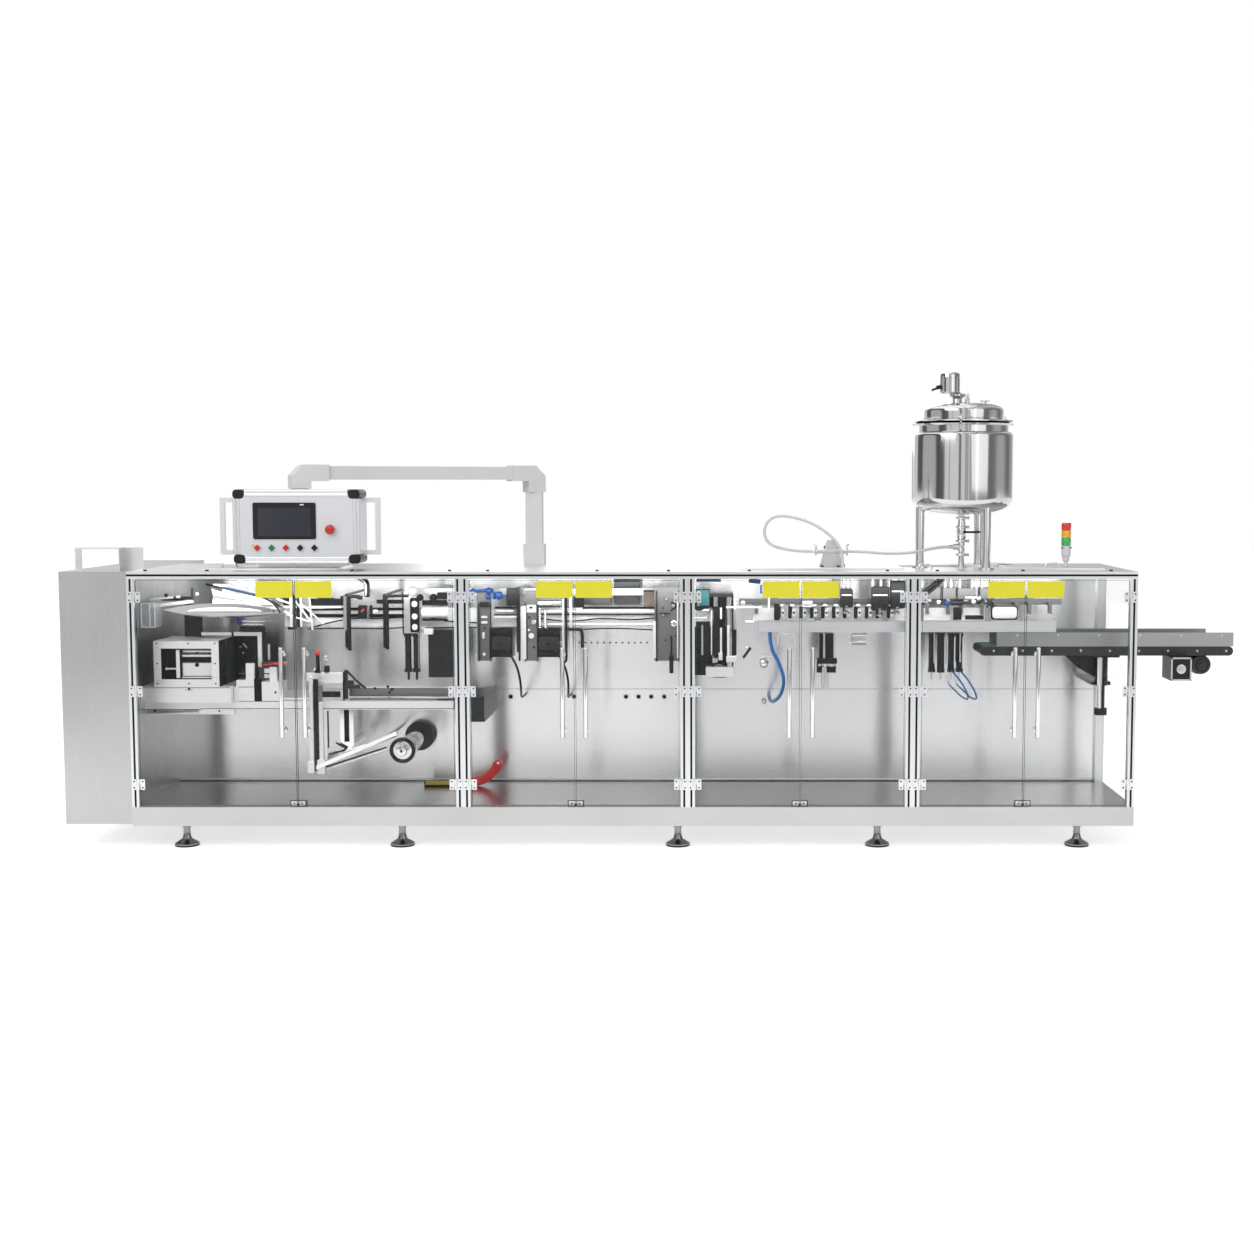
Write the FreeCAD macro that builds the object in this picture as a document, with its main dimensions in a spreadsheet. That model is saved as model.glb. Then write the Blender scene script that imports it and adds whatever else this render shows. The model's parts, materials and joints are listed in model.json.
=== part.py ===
# Stand-up pouch packing machine: forms, fills and seals flexible pouches behind glazed doors.
# Millimetres, +Z up, front towards -Y. The origin is on the floor, under the middle of the machine.
import FreeCAD, Part
import Sketcher
import math
import os
import re

V = FreeCAD.Vector
doc = FreeCAD.newDocument("pouch_machine")

# Driving dimensions, by group. Every one becomes a named cell of the sheet.
SIZES = {
    # whole machine
    "machine_depth": 1100,
    "conveyor_overhang": 460,
    "bay_one_width": 1396,
    "bay_width": 945,
    "last_bay_width": 935,
    "deck_level": 1170,
    "deck_depth": 760,
    "wall_depth": 630,
    # feet and base frame
    "foot_height": 97,
    "foot_pad_radius": 51,
    "foot_pad_rim": 12,
    "foot_cone_height": 34,
    "foot_neck_radius": 15,
    "foot_stud_radius": 12,
    "foot_nut_radius": 20,
    "foot_nut_height": 16,
    "foot_inset": 70,
    "foot_one": 206,
    "foot_two": 1124,
    "foot_three": 2297,
    "foot_four": 3146,
    "foot_five": 3996,
    "sill_height": 80,
    "sill_depth": 60,
    "cross_width": 60,
    "pan_sheet": 3,
    "catch_length": 65,
    "catch_depth": 28,
    "catch_height": 26,
    "catch_setback": 14,
    # left cabinet
    "cabinet_width": 281,
    "cabinet_lift": 105,
    "reveal_width": 4,
    "reveal_depth": 3,
    "panel_margin": 28,
    # door frame of slotted profile
    "profile_side": 30,
    "slot_width": 8,
    "slot_depth": 9,
    "slot_inner_width": 16,
    "slot_lip": 2.5,
    # walls and deck
    "wall_sheet": 4,
    "wall_seam_level": 602,
    "wall_seam": 3,
    "small_hole_radius": 4,
    "small_hole_first": 1836,
    "small_hole_pitch": 28,
    "small_hole_level": 815,
    "large_hole_radius": 9,
    "large_hole_level": 568,
    "large_hole_one": 1522,
    "large_hole_two": 1759,
    "large_hole_three": 1811,
    "large_hole_four": 2047,
    "large_hole_five": 2104,
    "large_hole_six": 2162,
    "large_hole_seven": 2221,
    "deck_sheet": 6,
    "rear_level": 1140,
    "rear_bar": 30,
    "rear_bar_width": 38,
    "window_sheet": 8,
    "cutout_front": 100,
    "cutout_rear": 530,
    "cutout_low": 690,
    "cutout_high": 1020,
    "cutout_corner": 40,
    # doors
    "glass_thickness": 8,
    "glass_side_gap": 6,
    "glass_end_gap": 5,
    "meeting_gap": 6,
    "hinge_top": 1064,
    "hinge_middle": 668,
    "hinge_low": 274,
    "hinge_height": 45,
    "hinge_leaf": 20,
    "hinge_sheet": 4,
    "hinge_offset": 1.5,
    "knuckle_radius": 6,
    "knuckle_gap": 0.4,
    "handle_radius": 9.5,
    "handle_length": 380,
    "handle_low": 477,
    "handle_inset": 48.5,
    "handle_stand": 45,
    "handle_post_radius": 6,
    "handle_post_inset": 30,
    # screen on its swing arm
    "arm_post_from_left": 1630,
    "arm_post_depth": 700,
    "arm_base_side": 94,
    "arm_base_height": 92,
    "arm_post_side": 74,
    "arm_side": 58,
    "arm_level": 1582,
    "arm_joint_gap": 0.3,
    "arm_turn": 28.1,
    "arm_reach": 1071,
    "elbow_side": 80,
    "elbow_length": 158,
    "elbow_sleeve": 70,
    "elbow_bevel": 46,
    "post_drop": 50,
    "neck_drop": 32,
    "neck_radius": 34,
    "neck_height": 3,
    "box_width": 538,
    "box_height": 314,
    "box_depth": 150,
    "box_corner": 24,
    "face_width": 447,
    "face_height": 247,
    "face_recess": 3,
    "screen_width": 267,
    "screen_height": 155,
    "screen_from_left": 40,
    "screen_from_top": 22,
    "screen_proud": 5,
    "screen_corner": 8,
    "grip_reach": 72,
    "grip_height": 243,
    "grip_bar": 20,
    "stop_radius": 20,
    "stop_ring_radius": 30,
    "stop_height": 30,
    "stop_from_right": 68,
    "stop_level": 133,
    "button_radius": 13,
    "button_height": 12,
    "button_first": 68,
    "button_pitch": 61,
    "button_level": 62,
    "rest_width": 58,
    "rest_depth": 40,
    "rest_height": 24,
    # mixing tank
    "tank_from_left": 3526,
    "tank_depth_at": 330,
    "tank_radius": 217,
    "tank_wall": 4,
    "tank_low": 1476,
    "tank_high": 1758,
    "tank_neck_radius": 196,
    "tank_neck_height": 28,
    "tank_rim_radius": 217,
    "tank_rim_height": 16,
    "tank_dish": 76,
    "tank_outlet_radius": 26,
    "lid_radius": 175,
    "lid_seat": 12,
    "lid_plate": 10,
    "lid_dome": 72,
    "leg_radius": 19,
    "leg_ring": 180,
    "leg_first_turn": 178,
    "leg_foot_radius": 34,
    "leg_foot_height": 8,
    "motor_radius": 44,
    "motor_length": 92,
    "stool_height": 38,
    "stool_radius": 30,
    "motor_back": 66,
    "valve_radius": 30,
    "valve_height": 58,
    "outlet_pipe_radius": 14,
    "tee_level": 1262,
    "tee_reach": 26,
    "tee_radius": 11,
    # other things on the deck
    "tower_from_left": 3966,
    "tower_depth_at": 250,
    "tower_radius": 21,
    "tower_base_height": 70,
    "tower_lens_height": 30,
    "tower_pole_radius": 9,
    "tower_pole_height": 38,
    "pump_from_left": 2902,
    "pump_width": 109,
    "pump_height": 123,
    "pump_depth_at": 230,
    "pump_plate": 8,
    "pump_base_depth": 80,
    "port_reach": 6,
    "port_level": 1244,
    "deck_port_from_left": 3004,
    "deck_port_height": 22,
    "guard_width": 190,
    "guard_depth": 75,
    "guard_height": 92,
    "guard_depth_at": 180,
    "guard_sheet": 4,
    "guard_wing": 78,
    # outfeed conveyor
    "conveyor_start": 3592,
    "conveyor_front": 196,
    "conveyor_rear": 404,
    "belt_level": 838,
    "belt_sheet": 3,
    "roller_radius": 16,
    "belt_gap": 6,
    "side_plate": 6,
    "side_height": 40,
    "guide_height": 60,
    "guide_sheet": 3,
    "guide_from_start": 72,
    "rear_guide_short": 62,
    "column_from_right": 83,
    "column_depth_at": 300,
    "column_radius": 28,
    "column_low": 660,
    "shaft_radius": 17,
    "shaft_low": 560,
    "collar_height": 30,
    "head_plate": 8,
    "clamp_width": 84,
    "clamp_plate": 14,
    "bracket_length": 118,
    "bracket_height": 112,
    "gearbox_width": 88,
    "gearbox_height": 100,
    "gearbox_depth": 148,
    "gearbox_from_left": 4396,
    "drive_radius": 42,
    "drive_length": 190,
    "drive_from_box": 70,
    "drive_front": 40,
    "flange_plate": 16,
    # pouch line behind the glass
    "line_depth": 290,
    "film_gap": 6,
    "film_sheet": 1.6,
    "film_low": 916,
    "film_high": 1000,
    "film_start": 584.3,
    "film_length": 1868,
    "seat_gap": 0.3,
    "tray_start": 2642,
    "tray_length": 1268,
    "tray_level": 905,
    "tray_height": 45,
    "tray_depth_at": 150,
    "tray_width": 60,
    "tray_sheet": 4,
    "arm_bar": 30,
    "top_bar_start": 1100,
    "top_bar_over": 4,
    "top_bar_level": 1050,
    "top_bar_setback": 44,
    "rail_start": 2560,
    "rail_length": 1410,
    "rail_level": 1008,
    "rail_setback": 56,
    "rail_side": 26,
    "pouch_count": 9,
    "pouch_first": 2620,
    "pouch_pitch": 148,
    "pouch_width": 118,
    "finger_width": 14,
    "finger_drop": 34,
    "head_low": 1040,
    "head_body_height": 46,
    "head_depth": 70,
    "head_rod_radius": 8,
    "nozzle_radius": 12,
    "nozzle_height": 20,
    "head_one": 3001,
    "head_one_width": 44,
    "head_two": 3127,
    "head_two_width": 60,
    "head_three": 3200,
    "head_three_width": 66,
    "head_four": 3343,
    "head_four_width": 84,
    "head_five": 3440,
    "head_five_width": 50,
    "head_six": 3504,
    "head_six_width": 78,
    "head_seven": 3600,
    "head_seven_width": 62,
    # forming and sealing stations
    "jaw_plate": 24,
    "jaw_low": 770,
    "jaw_high": 1050,
    "jaw_width": 57,
    "jaw_bridge": 22,
    "seal_one": 1424,
    "seal_two": 1631,
    "gauge_left": 2192,
    "gauge_width": 104,
    "gauge_high": 1090,
    "actuator_length": 96,
    "actuator_depth": 84,
    "actuator_height": 128,
    "punch_left": 1114,
    "punch_block_width": 52,
    "punch_block_low": 892,
    "punch_box_left": 1212,
    "punch_box_width": 106,
    "punch_box_low": 698,
    "punch_box_height": 206,
    "cylinder_radius": 15,
    "cylinder_cap": 16,
    "cylinder_length": 170,
    "cylinder_rod": 34,
    "lift_one": 3397,
    "lift_two": 3437,
    "lift_three": 3481,
    "lift_four": 3517,
    "guided_lift": 2938,
    "guided_body_width": 64,
    "guided_body_height": 108,
    "guided_foot_width": 82,
    "guided_foot_height": 63,
    "guided_depth": 50,
    "guided_tube_radius": 15,
    "guided_tube_length": 67,
    "cutter_left": 2356,
    "cutter_width": 178,
    "cutter_low": 704,
    "cutter_plate": 16,
    "cutter_shaft_radius": 14,
    "cutter_drum_radius": 30,
    "cutter_foot_height": 42,
    "cutter_back": 60,
    # film feed in the first bay
    "beam_depth_at": 200,
    "beam_depth": 40,
    "beam_low": 565,
    "beam_height": 36,
    "table_length": 1330,
    "table_plate": 12,
    "gusset_width": 128,
    "gusset_height": 112,
    "shelf_height": 20,
    "shelf_length": 383,
    "window_box_left": 57,
    "window_box_width": 279,
    "window_box_height": 196,
    "window_box_wall": 32,
    "window_box_depth": 260,
    "window_box_depth_at": 150,
    "window_base_width": 383,
    "window_base_height": 69,
    "stop_block_left": 394,
    "stop_block_width": 76,
    "stop_block_height": 92,
    "stop_plate_height": 72,
    "stop_plate_width": 34,
    "feed_block_left": 503,
    "feed_block_width": 90,
    "feed_block_height": 84,
    "feed_knob_radius": 13,
    "feed_knob_length": 86,
    "feed_motor_left": 342,
    "feed_motor_width": 96,
    "feed_motor_height": 284,
    "former_left": 96,
    "former_length": 488,
    "former_level": 998,
    "former_rise": 29,
    "former_depth": 240,
    "former_depth_at": 170,
    "plow_length": 304,
    "plow_height": 104,
    "plow_sheet": 4,
    "spindle_from_left": 1112,
    "spindle_level": 394,
    "spindle_radius": 40,
    "spindle_gap": 0.3,
    "spindle_front": 165,
    "spindle_back": 596,
    "spindle_ring_radius": 54,
    "spindle_ring": 22,
    "spindle_flange_radius": 66,
    "spindle_flange": 12,
    "bearing_radius": 46,
    "hanger_one": 738,
    "hanger_one_low": 318,
    "hanger_one_high": 672,
    "hanger_two": 866,
    "hanger_two_low": 404,
    "hanger_bar": 18,
    "hanger_spacing": 40,
    "film_arm_run": 350,
    "film_arm_rise": 150,
    "film_arm_post": 0.86,
    "film_arm_rod": 7,
    "roll_radius": 22,
    "roll_length": 330,
    "guide_hook_one": 864,
    "guide_hook_two": 1028,
    "guide_hook_radius": 6,
    "guide_hook_low": 829,
    "guide_hook_high": 1056,
    "guide_hook_depth_at": 240,
    "lever_left": 1150,
    "lever_length": 195,
    "lever_bar": 14,
    "lever_width": 40,
    "lever_rise": 118,
    "lever_reach": 150,
    "lever_depth_at": 480,
    # hoses
    "hose_radius": 6.5,
    "thin_hose_radius": 5,
    "blue_hose_radius": 8,
    "loop_hose_radius": 4,
}

# Places worked out from the driving dimensions, as formulas on the same names.
PLACES = {
    "handle_reach": "handle_stand + handle_radius",
    "frame_length": "bay_one_width + 2 * bay_width + last_bay_width",
    "frame_left": "cabinet_width - (cabinet_width + frame_length + conveyor_overhang) / 2",
    "frame_right": "frame_left + frame_length",
    "front": "(handle_reach - machine_depth) / 2",
    "back": "front + machine_depth",
    "wall_front": "front + wall_depth",
    "sill_top": "foot_height + sill_height",
    "pan_top": "sill_top + pan_sheet",
    "rail_low": "deck_level - profile_side",
    "tank_x": "frame_left + tank_from_left",
    "tank_y": "front + tank_depth_at",
    "rim_low": "tank_high + tank_neck_height",
    "lid_low": "rim_low + tank_rim_height",
    "lid_top": "lid_low + lid_plate + lid_dome",
    "arm_x": "frame_left + arm_post_from_left",
    "arm_y": "front + arm_post_depth",
    "neck_x": "arm_x - arm_reach * cos(arm_turn)",
    "neck_y": "arm_y - arm_reach * sin(arm_turn)",
    "sleeve_low": "arm_level - elbow_sleeve / 2",
    "box_top": "sleeve_low - neck_drop - arm_joint_gap - neck_height",
    "box_low": "box_top - box_height",
    "box_left": "neck_x - box_width / 2",
    "box_right": "neck_x + box_width / 2",
    "box_front": "neck_y - box_depth / 2",
    "face_front": "box_front + face_recess",
    "conveyor_x": "frame_left + conveyor_start",
    "conveyor_end": "frame_right + conveyor_overhang",
    "conveyor_y": "front + conveyor_front",
    "conveyor_width": "conveyor_rear - conveyor_front",
    "roller_level": "belt_level - belt_sheet - roller_radius",
    "side_low": "roller_level - side_height / 2",
    "column_x": "frame_right - column_from_right",
    "column_y": "front + column_depth_at",
    "line_y": "front + line_depth",
    "spindle_x": "frame_left + spindle_from_left",
    "beam_y": "front + beam_depth_at",
    "beam_top": "beam_low + beam_height",
    "rail_y": "line_y + rail_setback",
    "bar_y": "line_y + top_bar_setback",
    "top_bar_length": "gauge_left + gauge_width + top_bar_over - top_bar_start",
    "glass_low": "sill_top + glass_end_gap + pan_sheet",
    "glass_high": "rail_low - glass_end_gap",
    "pump_x": "frame_left + pump_from_left",
    "pump_y": "front + pump_depth_at",
    "tower_x": "frame_left + tower_from_left",
    "tower_y": "front + tower_depth_at",
}

sheet = doc.addObject("Spreadsheet::Sheet", "Sizes")
for row, (alias, value) in enumerate(SIZES.items(), start=1):
    cell = "A" + str(row)
    sheet.set(cell, str(value))
    sheet.setAlias(cell, alias)
doc.recompute()


def size(alias):
    """The value of one driving dimension, read from the sheet."""
    return float(getattr(sheet, alias))


def formula(text):
    """A formula on the names above, written out so that it reads the sheet's cells."""
    def written(match):
        word = match.group(0)
        if word in SIZES:
            return "Sizes." + word
        if word in PLACES:
            return "(" + formula(PLACES[word]) + ")"
        return word
    return re.sub(r"[a-z_]+", written, str(text))


probe = doc.addObject("App::FeaturePython", "Probe")
probe.addProperty("App::PropertyFloat", "Reading")


def measure(text):
    """The number that a formula gives, for shapes that are drawn point by point."""
    probe.setExpression("Reading", formula(text))
    probe.recompute()
    return probe.Reading


TURNS = {
    "z": FreeCAD.Rotation(),
    "x": FreeCAD.Rotation(V(0, 1, 0), 90),
    "y": FreeCAD.Rotation(V(1, 0, 0), -90),
}


def place(item, x, y, z, turn=None):
    """Puts an item where three formulas say, turned to an axis or by a rotation."""
    if turn is not None:
        item.Placement = FreeCAD.Placement(V(0, 0, 0), TURNS.get(turn, turn) if isinstance(turn, str) else turn)
    item.setExpression("Placement.Base.x", formula(x))
    item.setExpression("Placement.Base.y", formula(y))
    item.setExpression("Placement.Base.z", formula(z))
    return item


def block(x, y, z, length, width, height):
    """A rectangular block from its lowest corner."""
    item = doc.addObject("Part::Box", "Block")
    item.setExpression("Length", formula(length))
    item.setExpression("Width", formula(width))
    item.setExpression("Height", formula(height))
    return place(item, x, y, z)


def rod(x, y, z, radius, length, turn="z"):
    """A round bar from the middle of its first end."""
    item = doc.addObject("Part::Cylinder", "Rod")
    item.setExpression("Radius", formula(radius))
    item.setExpression("Height", formula(length))
    return place(item, x, y, z, turn)


def taper(x, y, z, radius, end_radius, length, turn="z"):
    """A cone from the middle of its first end."""
    item = doc.addObject("Part::Cone", "Taper")
    item.setExpression("Radius1", formula(radius))
    item.setExpression("Radius2", formula(end_radius))
    item.setExpression("Height", formula(length))
    return place(item, x, y, z, turn)


def join(items):
    """Pieces that are welded or moulded as one."""
    item = doc.addObject("Part::MultiFuse", "Join")
    item.Shapes = items
    item.Refine = True
    return item


def group(items):
    """Like pieces that stand apart and share one node."""
    item = doc.addObject("Part::Compound", "Group")
    item.Links = items
    return item


def cut(base, tools):
    """A piece with the tools' shapes taken out of it."""
    item = doc.addObject("Part::Cut", "Cut")
    item.Base = base
    item.Tool = tools[0] if len(tools) == 1 else group(tools)
    return item


def drawn(name, draw, x=0, y=0, z=0, turn=None):
    """A piece whose faces are drawn by a function that reads the sheet."""
    item = doc.addObject("Part::Feature", name)
    item.Shape = draw()
    return place(item, x, y, z, turn)


NODES = {}


def keep(node, item):
    """Names a finished sub-part, which is written to a file of that name."""
    item.Label = node
    NODES[node] = item
    return item


def outline(body, role, points):
    """A closed sketch on one of a body's own planes, each corner held by two formulas."""
    plane = [face for face in body.Origin.OriginFeatures if face.Role == role][0]
    sketch = body.newObject("Sketcher::SketchObject", "Outline")
    sketch.AttachmentSupport = [(plane, "")]
    sketch.MapMode = "FlatFace"
    places = [(measure(across), measure(up)) for across, up in points]
    for index, start in enumerate(places):
        end = places[(index + 1) % len(places)]
        sketch.addGeometry(Part.LineSegment(V(start[0], start[1], 0), V(end[0], end[1], 0)), False)
    for index, (across, up) in enumerate(points):
        following = (index + 1) % len(points)
        sketch.addConstraint(Sketcher.Constraint("Coincident", index, 2, following, 1))
        for kind, axis, text, now in (("DistanceX", -2, across, places[index][0]),
                                      ("DistanceY", -1, up, places[index][1])):
            if abs(now) < 1e-9:
                sketch.addConstraint(Sketcher.Constraint("PointOnObject", index, 1, axis))
                continue
            held = sketch.addConstraint(Sketcher.Constraint(kind, -1, 1, index, 1, now))
            sketch.setExpression("Constraints[" + str(held) + "]", formula(text))
    return sketch


def revolved(x, y, z, points):
    """A body turned about its upright axis, from (radius, height) formulas of its half section."""
    body = doc.addObject("PartDesign::Body", "Turned")
    sketch = outline(body, "XZ_Plane", points)
    turned = body.newObject("PartDesign::Revolution", "Turn")
    turned.Profile = sketch
    turned.ReferenceAxis = (sketch, ["V_Axis"])
    turned.Angle = 360
    return place(body, x, y, z)


def padded(x, y, z, role, points, length, turn=None):
    """A body padded from a closed outline on one of its planes."""
    body = doc.addObject("PartDesign::Body", "Padded")
    sketch = outline(body, role, points)
    pad = body.newObject("PartDesign::Pad", "Pad")
    pad.Profile = sketch
    pad.setExpression("Length", formula(length))
    return place(body, x, y, z, turn)


def rounded_bar(x, y, z, length, width, height, radius, edges):
    """A block with its edges along one direction rounded."""
    item = doc.addObject("Part::Fillet", "Rounded")
    item.Base = block(0, 0, 0, length, width, height)
    doc.recompute()
    along = {"x": V(1, 0, 0), "y": V(0, 1, 0), "z": V(0, 0, 1)}[edges]
    rounds = []
    for index, edge in enumerate(item.Base.Shape.Edges, start=1):
        way = edge.tangentAt(edge.FirstParameter)
        if abs(way.dot(along)) > 0.99:
            rounds.append((index, measure(radius), measure(radius)))
    item.Edges = rounds
    return place(item, x, y, z)


# Base frame and housing

FOOT_PLACES = ["foot_one", "foot_two", "foot_three", "foot_four", "foot_five"]


def levelling_foot(x, y):
    """One screw foot: a cone on a pad, a stud and a lock nut under the frame."""
    section = [("0", "0"), ("foot_pad_radius", "0"), ("foot_pad_radius", "foot_pad_rim"),
               ("foot_neck_radius", "foot_cone_height"), ("foot_stud_radius", "foot_cone_height"),
               ("foot_stud_radius", "foot_height"), ("0", "foot_height")]
    stem = revolved(x, y, 0, section)
    nut = doc.addObject("Part::Prism", "Nut")
    nut.Polygon = 6
    nut.setExpression("Circumradius", formula("foot_nut_radius"))
    nut.setExpression("Height", formula("foot_nut_height"))
    place(nut, x, y, "foot_height - foot_nut_height")
    return join([stem, nut])


feet = []
for along in FOOT_PLACES:
    for depth in ("foot_inset", "machine_depth - foot_inset"):
        feet.append(levelling_foot("frame_left + " + along, "front + " + depth))
keep("levelling_feet", group(feet))


# Where the door posts stand, and the two leaves of each bay: their hinge line and meeting line.
POST_LINES = ["bay_one_width", "bay_one_width + bay_width", "bay_one_width + 2 * bay_width"]
BAYS = [("frame_left + profile_side", "frame_left + bay_one_width - profile_side")]
for line in POST_LINES[1:]:
    BAYS.append(("frame_left + " + line + " - bay_width + profile_side", "frame_left + " + line + " - profile_side"))
BAYS.append(("frame_left + " + POST_LINES[-1] + " + profile_side", "frame_right - profile_side"))


def middle(bay):
    """The meeting line of a bay's two leaves."""
    return "(" + bay[0] + " + " + bay[1] + ") / 2"


front_parts = [block("frame_left", "front", "foot_height", "frame_length", "sill_depth", "sill_height")]
for bay in BAYS:
    front_parts.append(block(middle(bay) + " - catch_length / 2", "front + catch_setback", "sill_top",
                             "catch_length", "catch_depth", "catch_height"))
keep("front_sill", join(front_parts))
keep("rear_sill", block("frame_left", "back - sill_depth", "foot_height",
                        "frame_length", "sill_depth", "sill_height"))
keep("cross_members", group([
    block("frame_left + " + along + " - cross_width / 2", "front + sill_depth", "foot_height",
          "cross_width", "machine_depth - 2 * sill_depth", "sill_height") for along in FOOT_PLACES]))

pan = block("frame_left", "front + profile_side", "sill_top",
            "frame_length", "wall_depth + wall_sheet - profile_side", "pan_sheet")
notches = [block(middle(bay) + " - catch_length / 2", "front + profile_side", "sill_top",
                 "catch_length", "catch_setback + catch_depth - profile_side", "pan_sheet") for bay in BAYS]
keep("floor_pan", cut(pan, notches))


def ring_tool(x, y, z, length, width, height, facing):
    """The loop of a panel's reveal, as a tool: a plate less a smaller plate inside it."""
    inset = "reveal_width"
    if facing == "x":
        inner = block(x, y + " + " + inset, z + " + " + inset,
                      length, width + " - 2 * " + inset, height + " - 2 * " + inset)
    else:
        inner = block(x + " + " + inset, y, z + " + " + inset,
                      length + " - 2 * " + inset, width, height + " - 2 * " + inset)
    return cut(block(x, y, z, length, width, height), [inner])


cabinet = block("frame_left - cabinet_width", "front", "cabinet_lift",
                "cabinet_width", "machine_depth", "deck_level - cabinet_lift")
cabinet_door = ring_tool("frame_left - cabinet_width", "front + panel_margin", "cabinet_lift + panel_margin",
                         "reveal_depth", "machine_depth - 2 * panel_margin",
                         "deck_level - cabinet_lift - 2 * panel_margin", "x")
keep("left_cabinet", cut(cabinet, [cabinet_door]))


def slot_outline(swapped):
    """The section of a slotted profile, with a T slot in its front and back faces."""
    near = [("0", "0"), ("profile_side / 2 - slot_width / 2", "0"), ("profile_side / 2 - slot_width / 2", "slot_lip"),
            ("profile_side / 2 - slot_inner_width / 2", "slot_lip"),
            ("profile_side / 2 - slot_inner_width / 2", "slot_depth"),
            ("profile_side / 2 + slot_inner_width / 2", "slot_depth"),
            ("profile_side / 2 + slot_inner_width / 2", "slot_lip"),
            ("profile_side / 2 + slot_width / 2", "slot_lip"), ("profile_side / 2 + slot_width / 2", "0"),
            ("profile_side", "0")]
    far = [(across, "profile_side - (" + up + ")") for across, up in reversed(near)]
    points = near + far
    if swapped:
        points = [(up, across) for across, up in points]
    return points


def post(x):
    """One upright of slotted profile from the sill to the top rail."""
    return padded(x, "front", "sill_top", "XY_Plane", slot_outline(False), "rail_low - sill_top")


posts = [post("frame_left"), post("frame_right - profile_side")]
for line in POST_LINES:
    posts.append(join([post("frame_left + " + line + " - profile_side"), post("frame_left + " + line)]))
posts.append(block("frame_right - rear_bar_width", "wall_front - rear_bar", "pan_top",
                   "rear_bar_width", "rear_bar", "deck_level - deck_sheet - pan_top"))
keep("frame_posts", group(posts))
keep("top_rail", padded("frame_left", "front", "rail_low", "YZ_Plane", slot_outline(True), "frame_length"))


def wall_hole(along, level, radius):
    """One drilled hole through the back wall, as a tool."""
    return rod("frame_left + " + along, "wall_front - wall_sheet", level, radius, "3 * wall_sheet", "y")


SMALL_HOLES = 12
COUNT_WORDS = ["one", "two", "three", "four", "five", "six", "seven"]
upper = cut(block("frame_left", "wall_front", "wall_seam_level + wall_seam", "frame_length", "wall_sheet",
                  "deck_level - deck_sheet - wall_seam_level - wall_seam"),
            [wall_hole("small_hole_first + " + str(number) + " * small_hole_pitch",
                       "small_hole_level", "small_hole_radius") for number in range(SMALL_HOLES)])
lower = cut(block("frame_left", "wall_front", "pan_top", "frame_length", "wall_sheet", "wall_seam_level - pan_top"),
            [wall_hole("large_hole_" + word, "large_hole_level", "large_hole_radius") for word in COUNT_WORDS])
bearing = rod("spindle_x", "front + spindle_back + spindle_gap", "spindle_level", "bearing_radius",
              "wall_depth - spindle_back - spindle_gap", "y")
keep("back_wall", group([upper, join([lower, bearing])]))

housing = join([
    block("frame_left", "wall_front + wall_sheet", "sill_top", "frame_length",
          "machine_depth - wall_depth - wall_sheet", "rear_level - sill_top"),
    block("frame_left", "wall_front + wall_sheet", "rear_level", "frame_length",
          "deck_depth - wall_depth - wall_sheet", "deck_level - deck_sheet - rear_level")])
rear_doors = [ring_tool(left + " - profile_side + panel_margin", "back - reveal_depth", "sill_top + panel_margin",
                        right + " - (" + left + ") + 2 * profile_side - 2 * panel_margin", "reveal_depth",
                        "rear_level - sill_top - 2 * panel_margin", "y") for left, right in BAYS]
keep("rear_housing", cut(housing, rear_doors))

deck = block("frame_left", "front + profile_side", "deck_level - deck_sheet",
             "frame_length", "deck_depth - profile_side", "deck_sheet")
rest = block("box_left + box_corner", "neck_y - rest_depth / 2", "deck_level", "rest_width", "rest_depth", "rest_height")
keep("top_deck", join([deck, rest]))

window = block("frame_right - window_sheet", "front + profile_side", "pan_top", "window_sheet",
               "wall_depth - rear_bar - profile_side", "deck_level - deck_sheet - pan_top")
opening = rounded_bar("frame_right - 2 * window_sheet", "front + cutout_front", "cutout_low", "3 * window_sheet",
                      "cutout_rear - cutout_front", "cutout_high - cutout_low", "cutout_corner", "x")
keep("end_window", cut(window, [opening]))


# Doors

HINGE_LEVELS = ["hinge_top", "hinge_middle", "hinge_low"]
LEAVES = []
for number, bay in enumerate(BAYS, start=1):
    LEAVES.append(("door_" + str(number) + "_left", bay[0], 1, middle(bay)))
    LEAVES.append(("door_" + str(number) + "_right", bay[1], -1, middle(bay)))


def span(line, side, near, far):
    """The lower end of a stretch that starts near a line and runs far from it, to one side."""
    if side > 0:
        return line + " + " + near
    return line + " - (" + far + ")"


def hinge_half(line, side, level, upper):
    """A plate and its knuckle: the upper half hangs on the leaf, the lower one on the post."""
    knuckle_level = level + (" + knuckle_gap / 2" if upper else " - hinge_height / 2")
    start = "knuckle_radius + hinge_offset"
    plate = block(span(line, side, start, start + " + hinge_leaf"), "front - hinge_sheet",
                  level + " - hinge_height / 2", "hinge_leaf", "hinge_sheet", "hinge_height")
    web = block(span(line, side, "0", start), "front - hinge_sheet", knuckle_level,
                start, "hinge_sheet", "(hinge_height - knuckle_gap) / 2")
    knuckle = rod(line, "front - knuckle_radius", knuckle_level,
                  "knuckle_radius", "(hinge_height - knuckle_gap) / 2")
    return [plate, web, knuckle]


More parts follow.
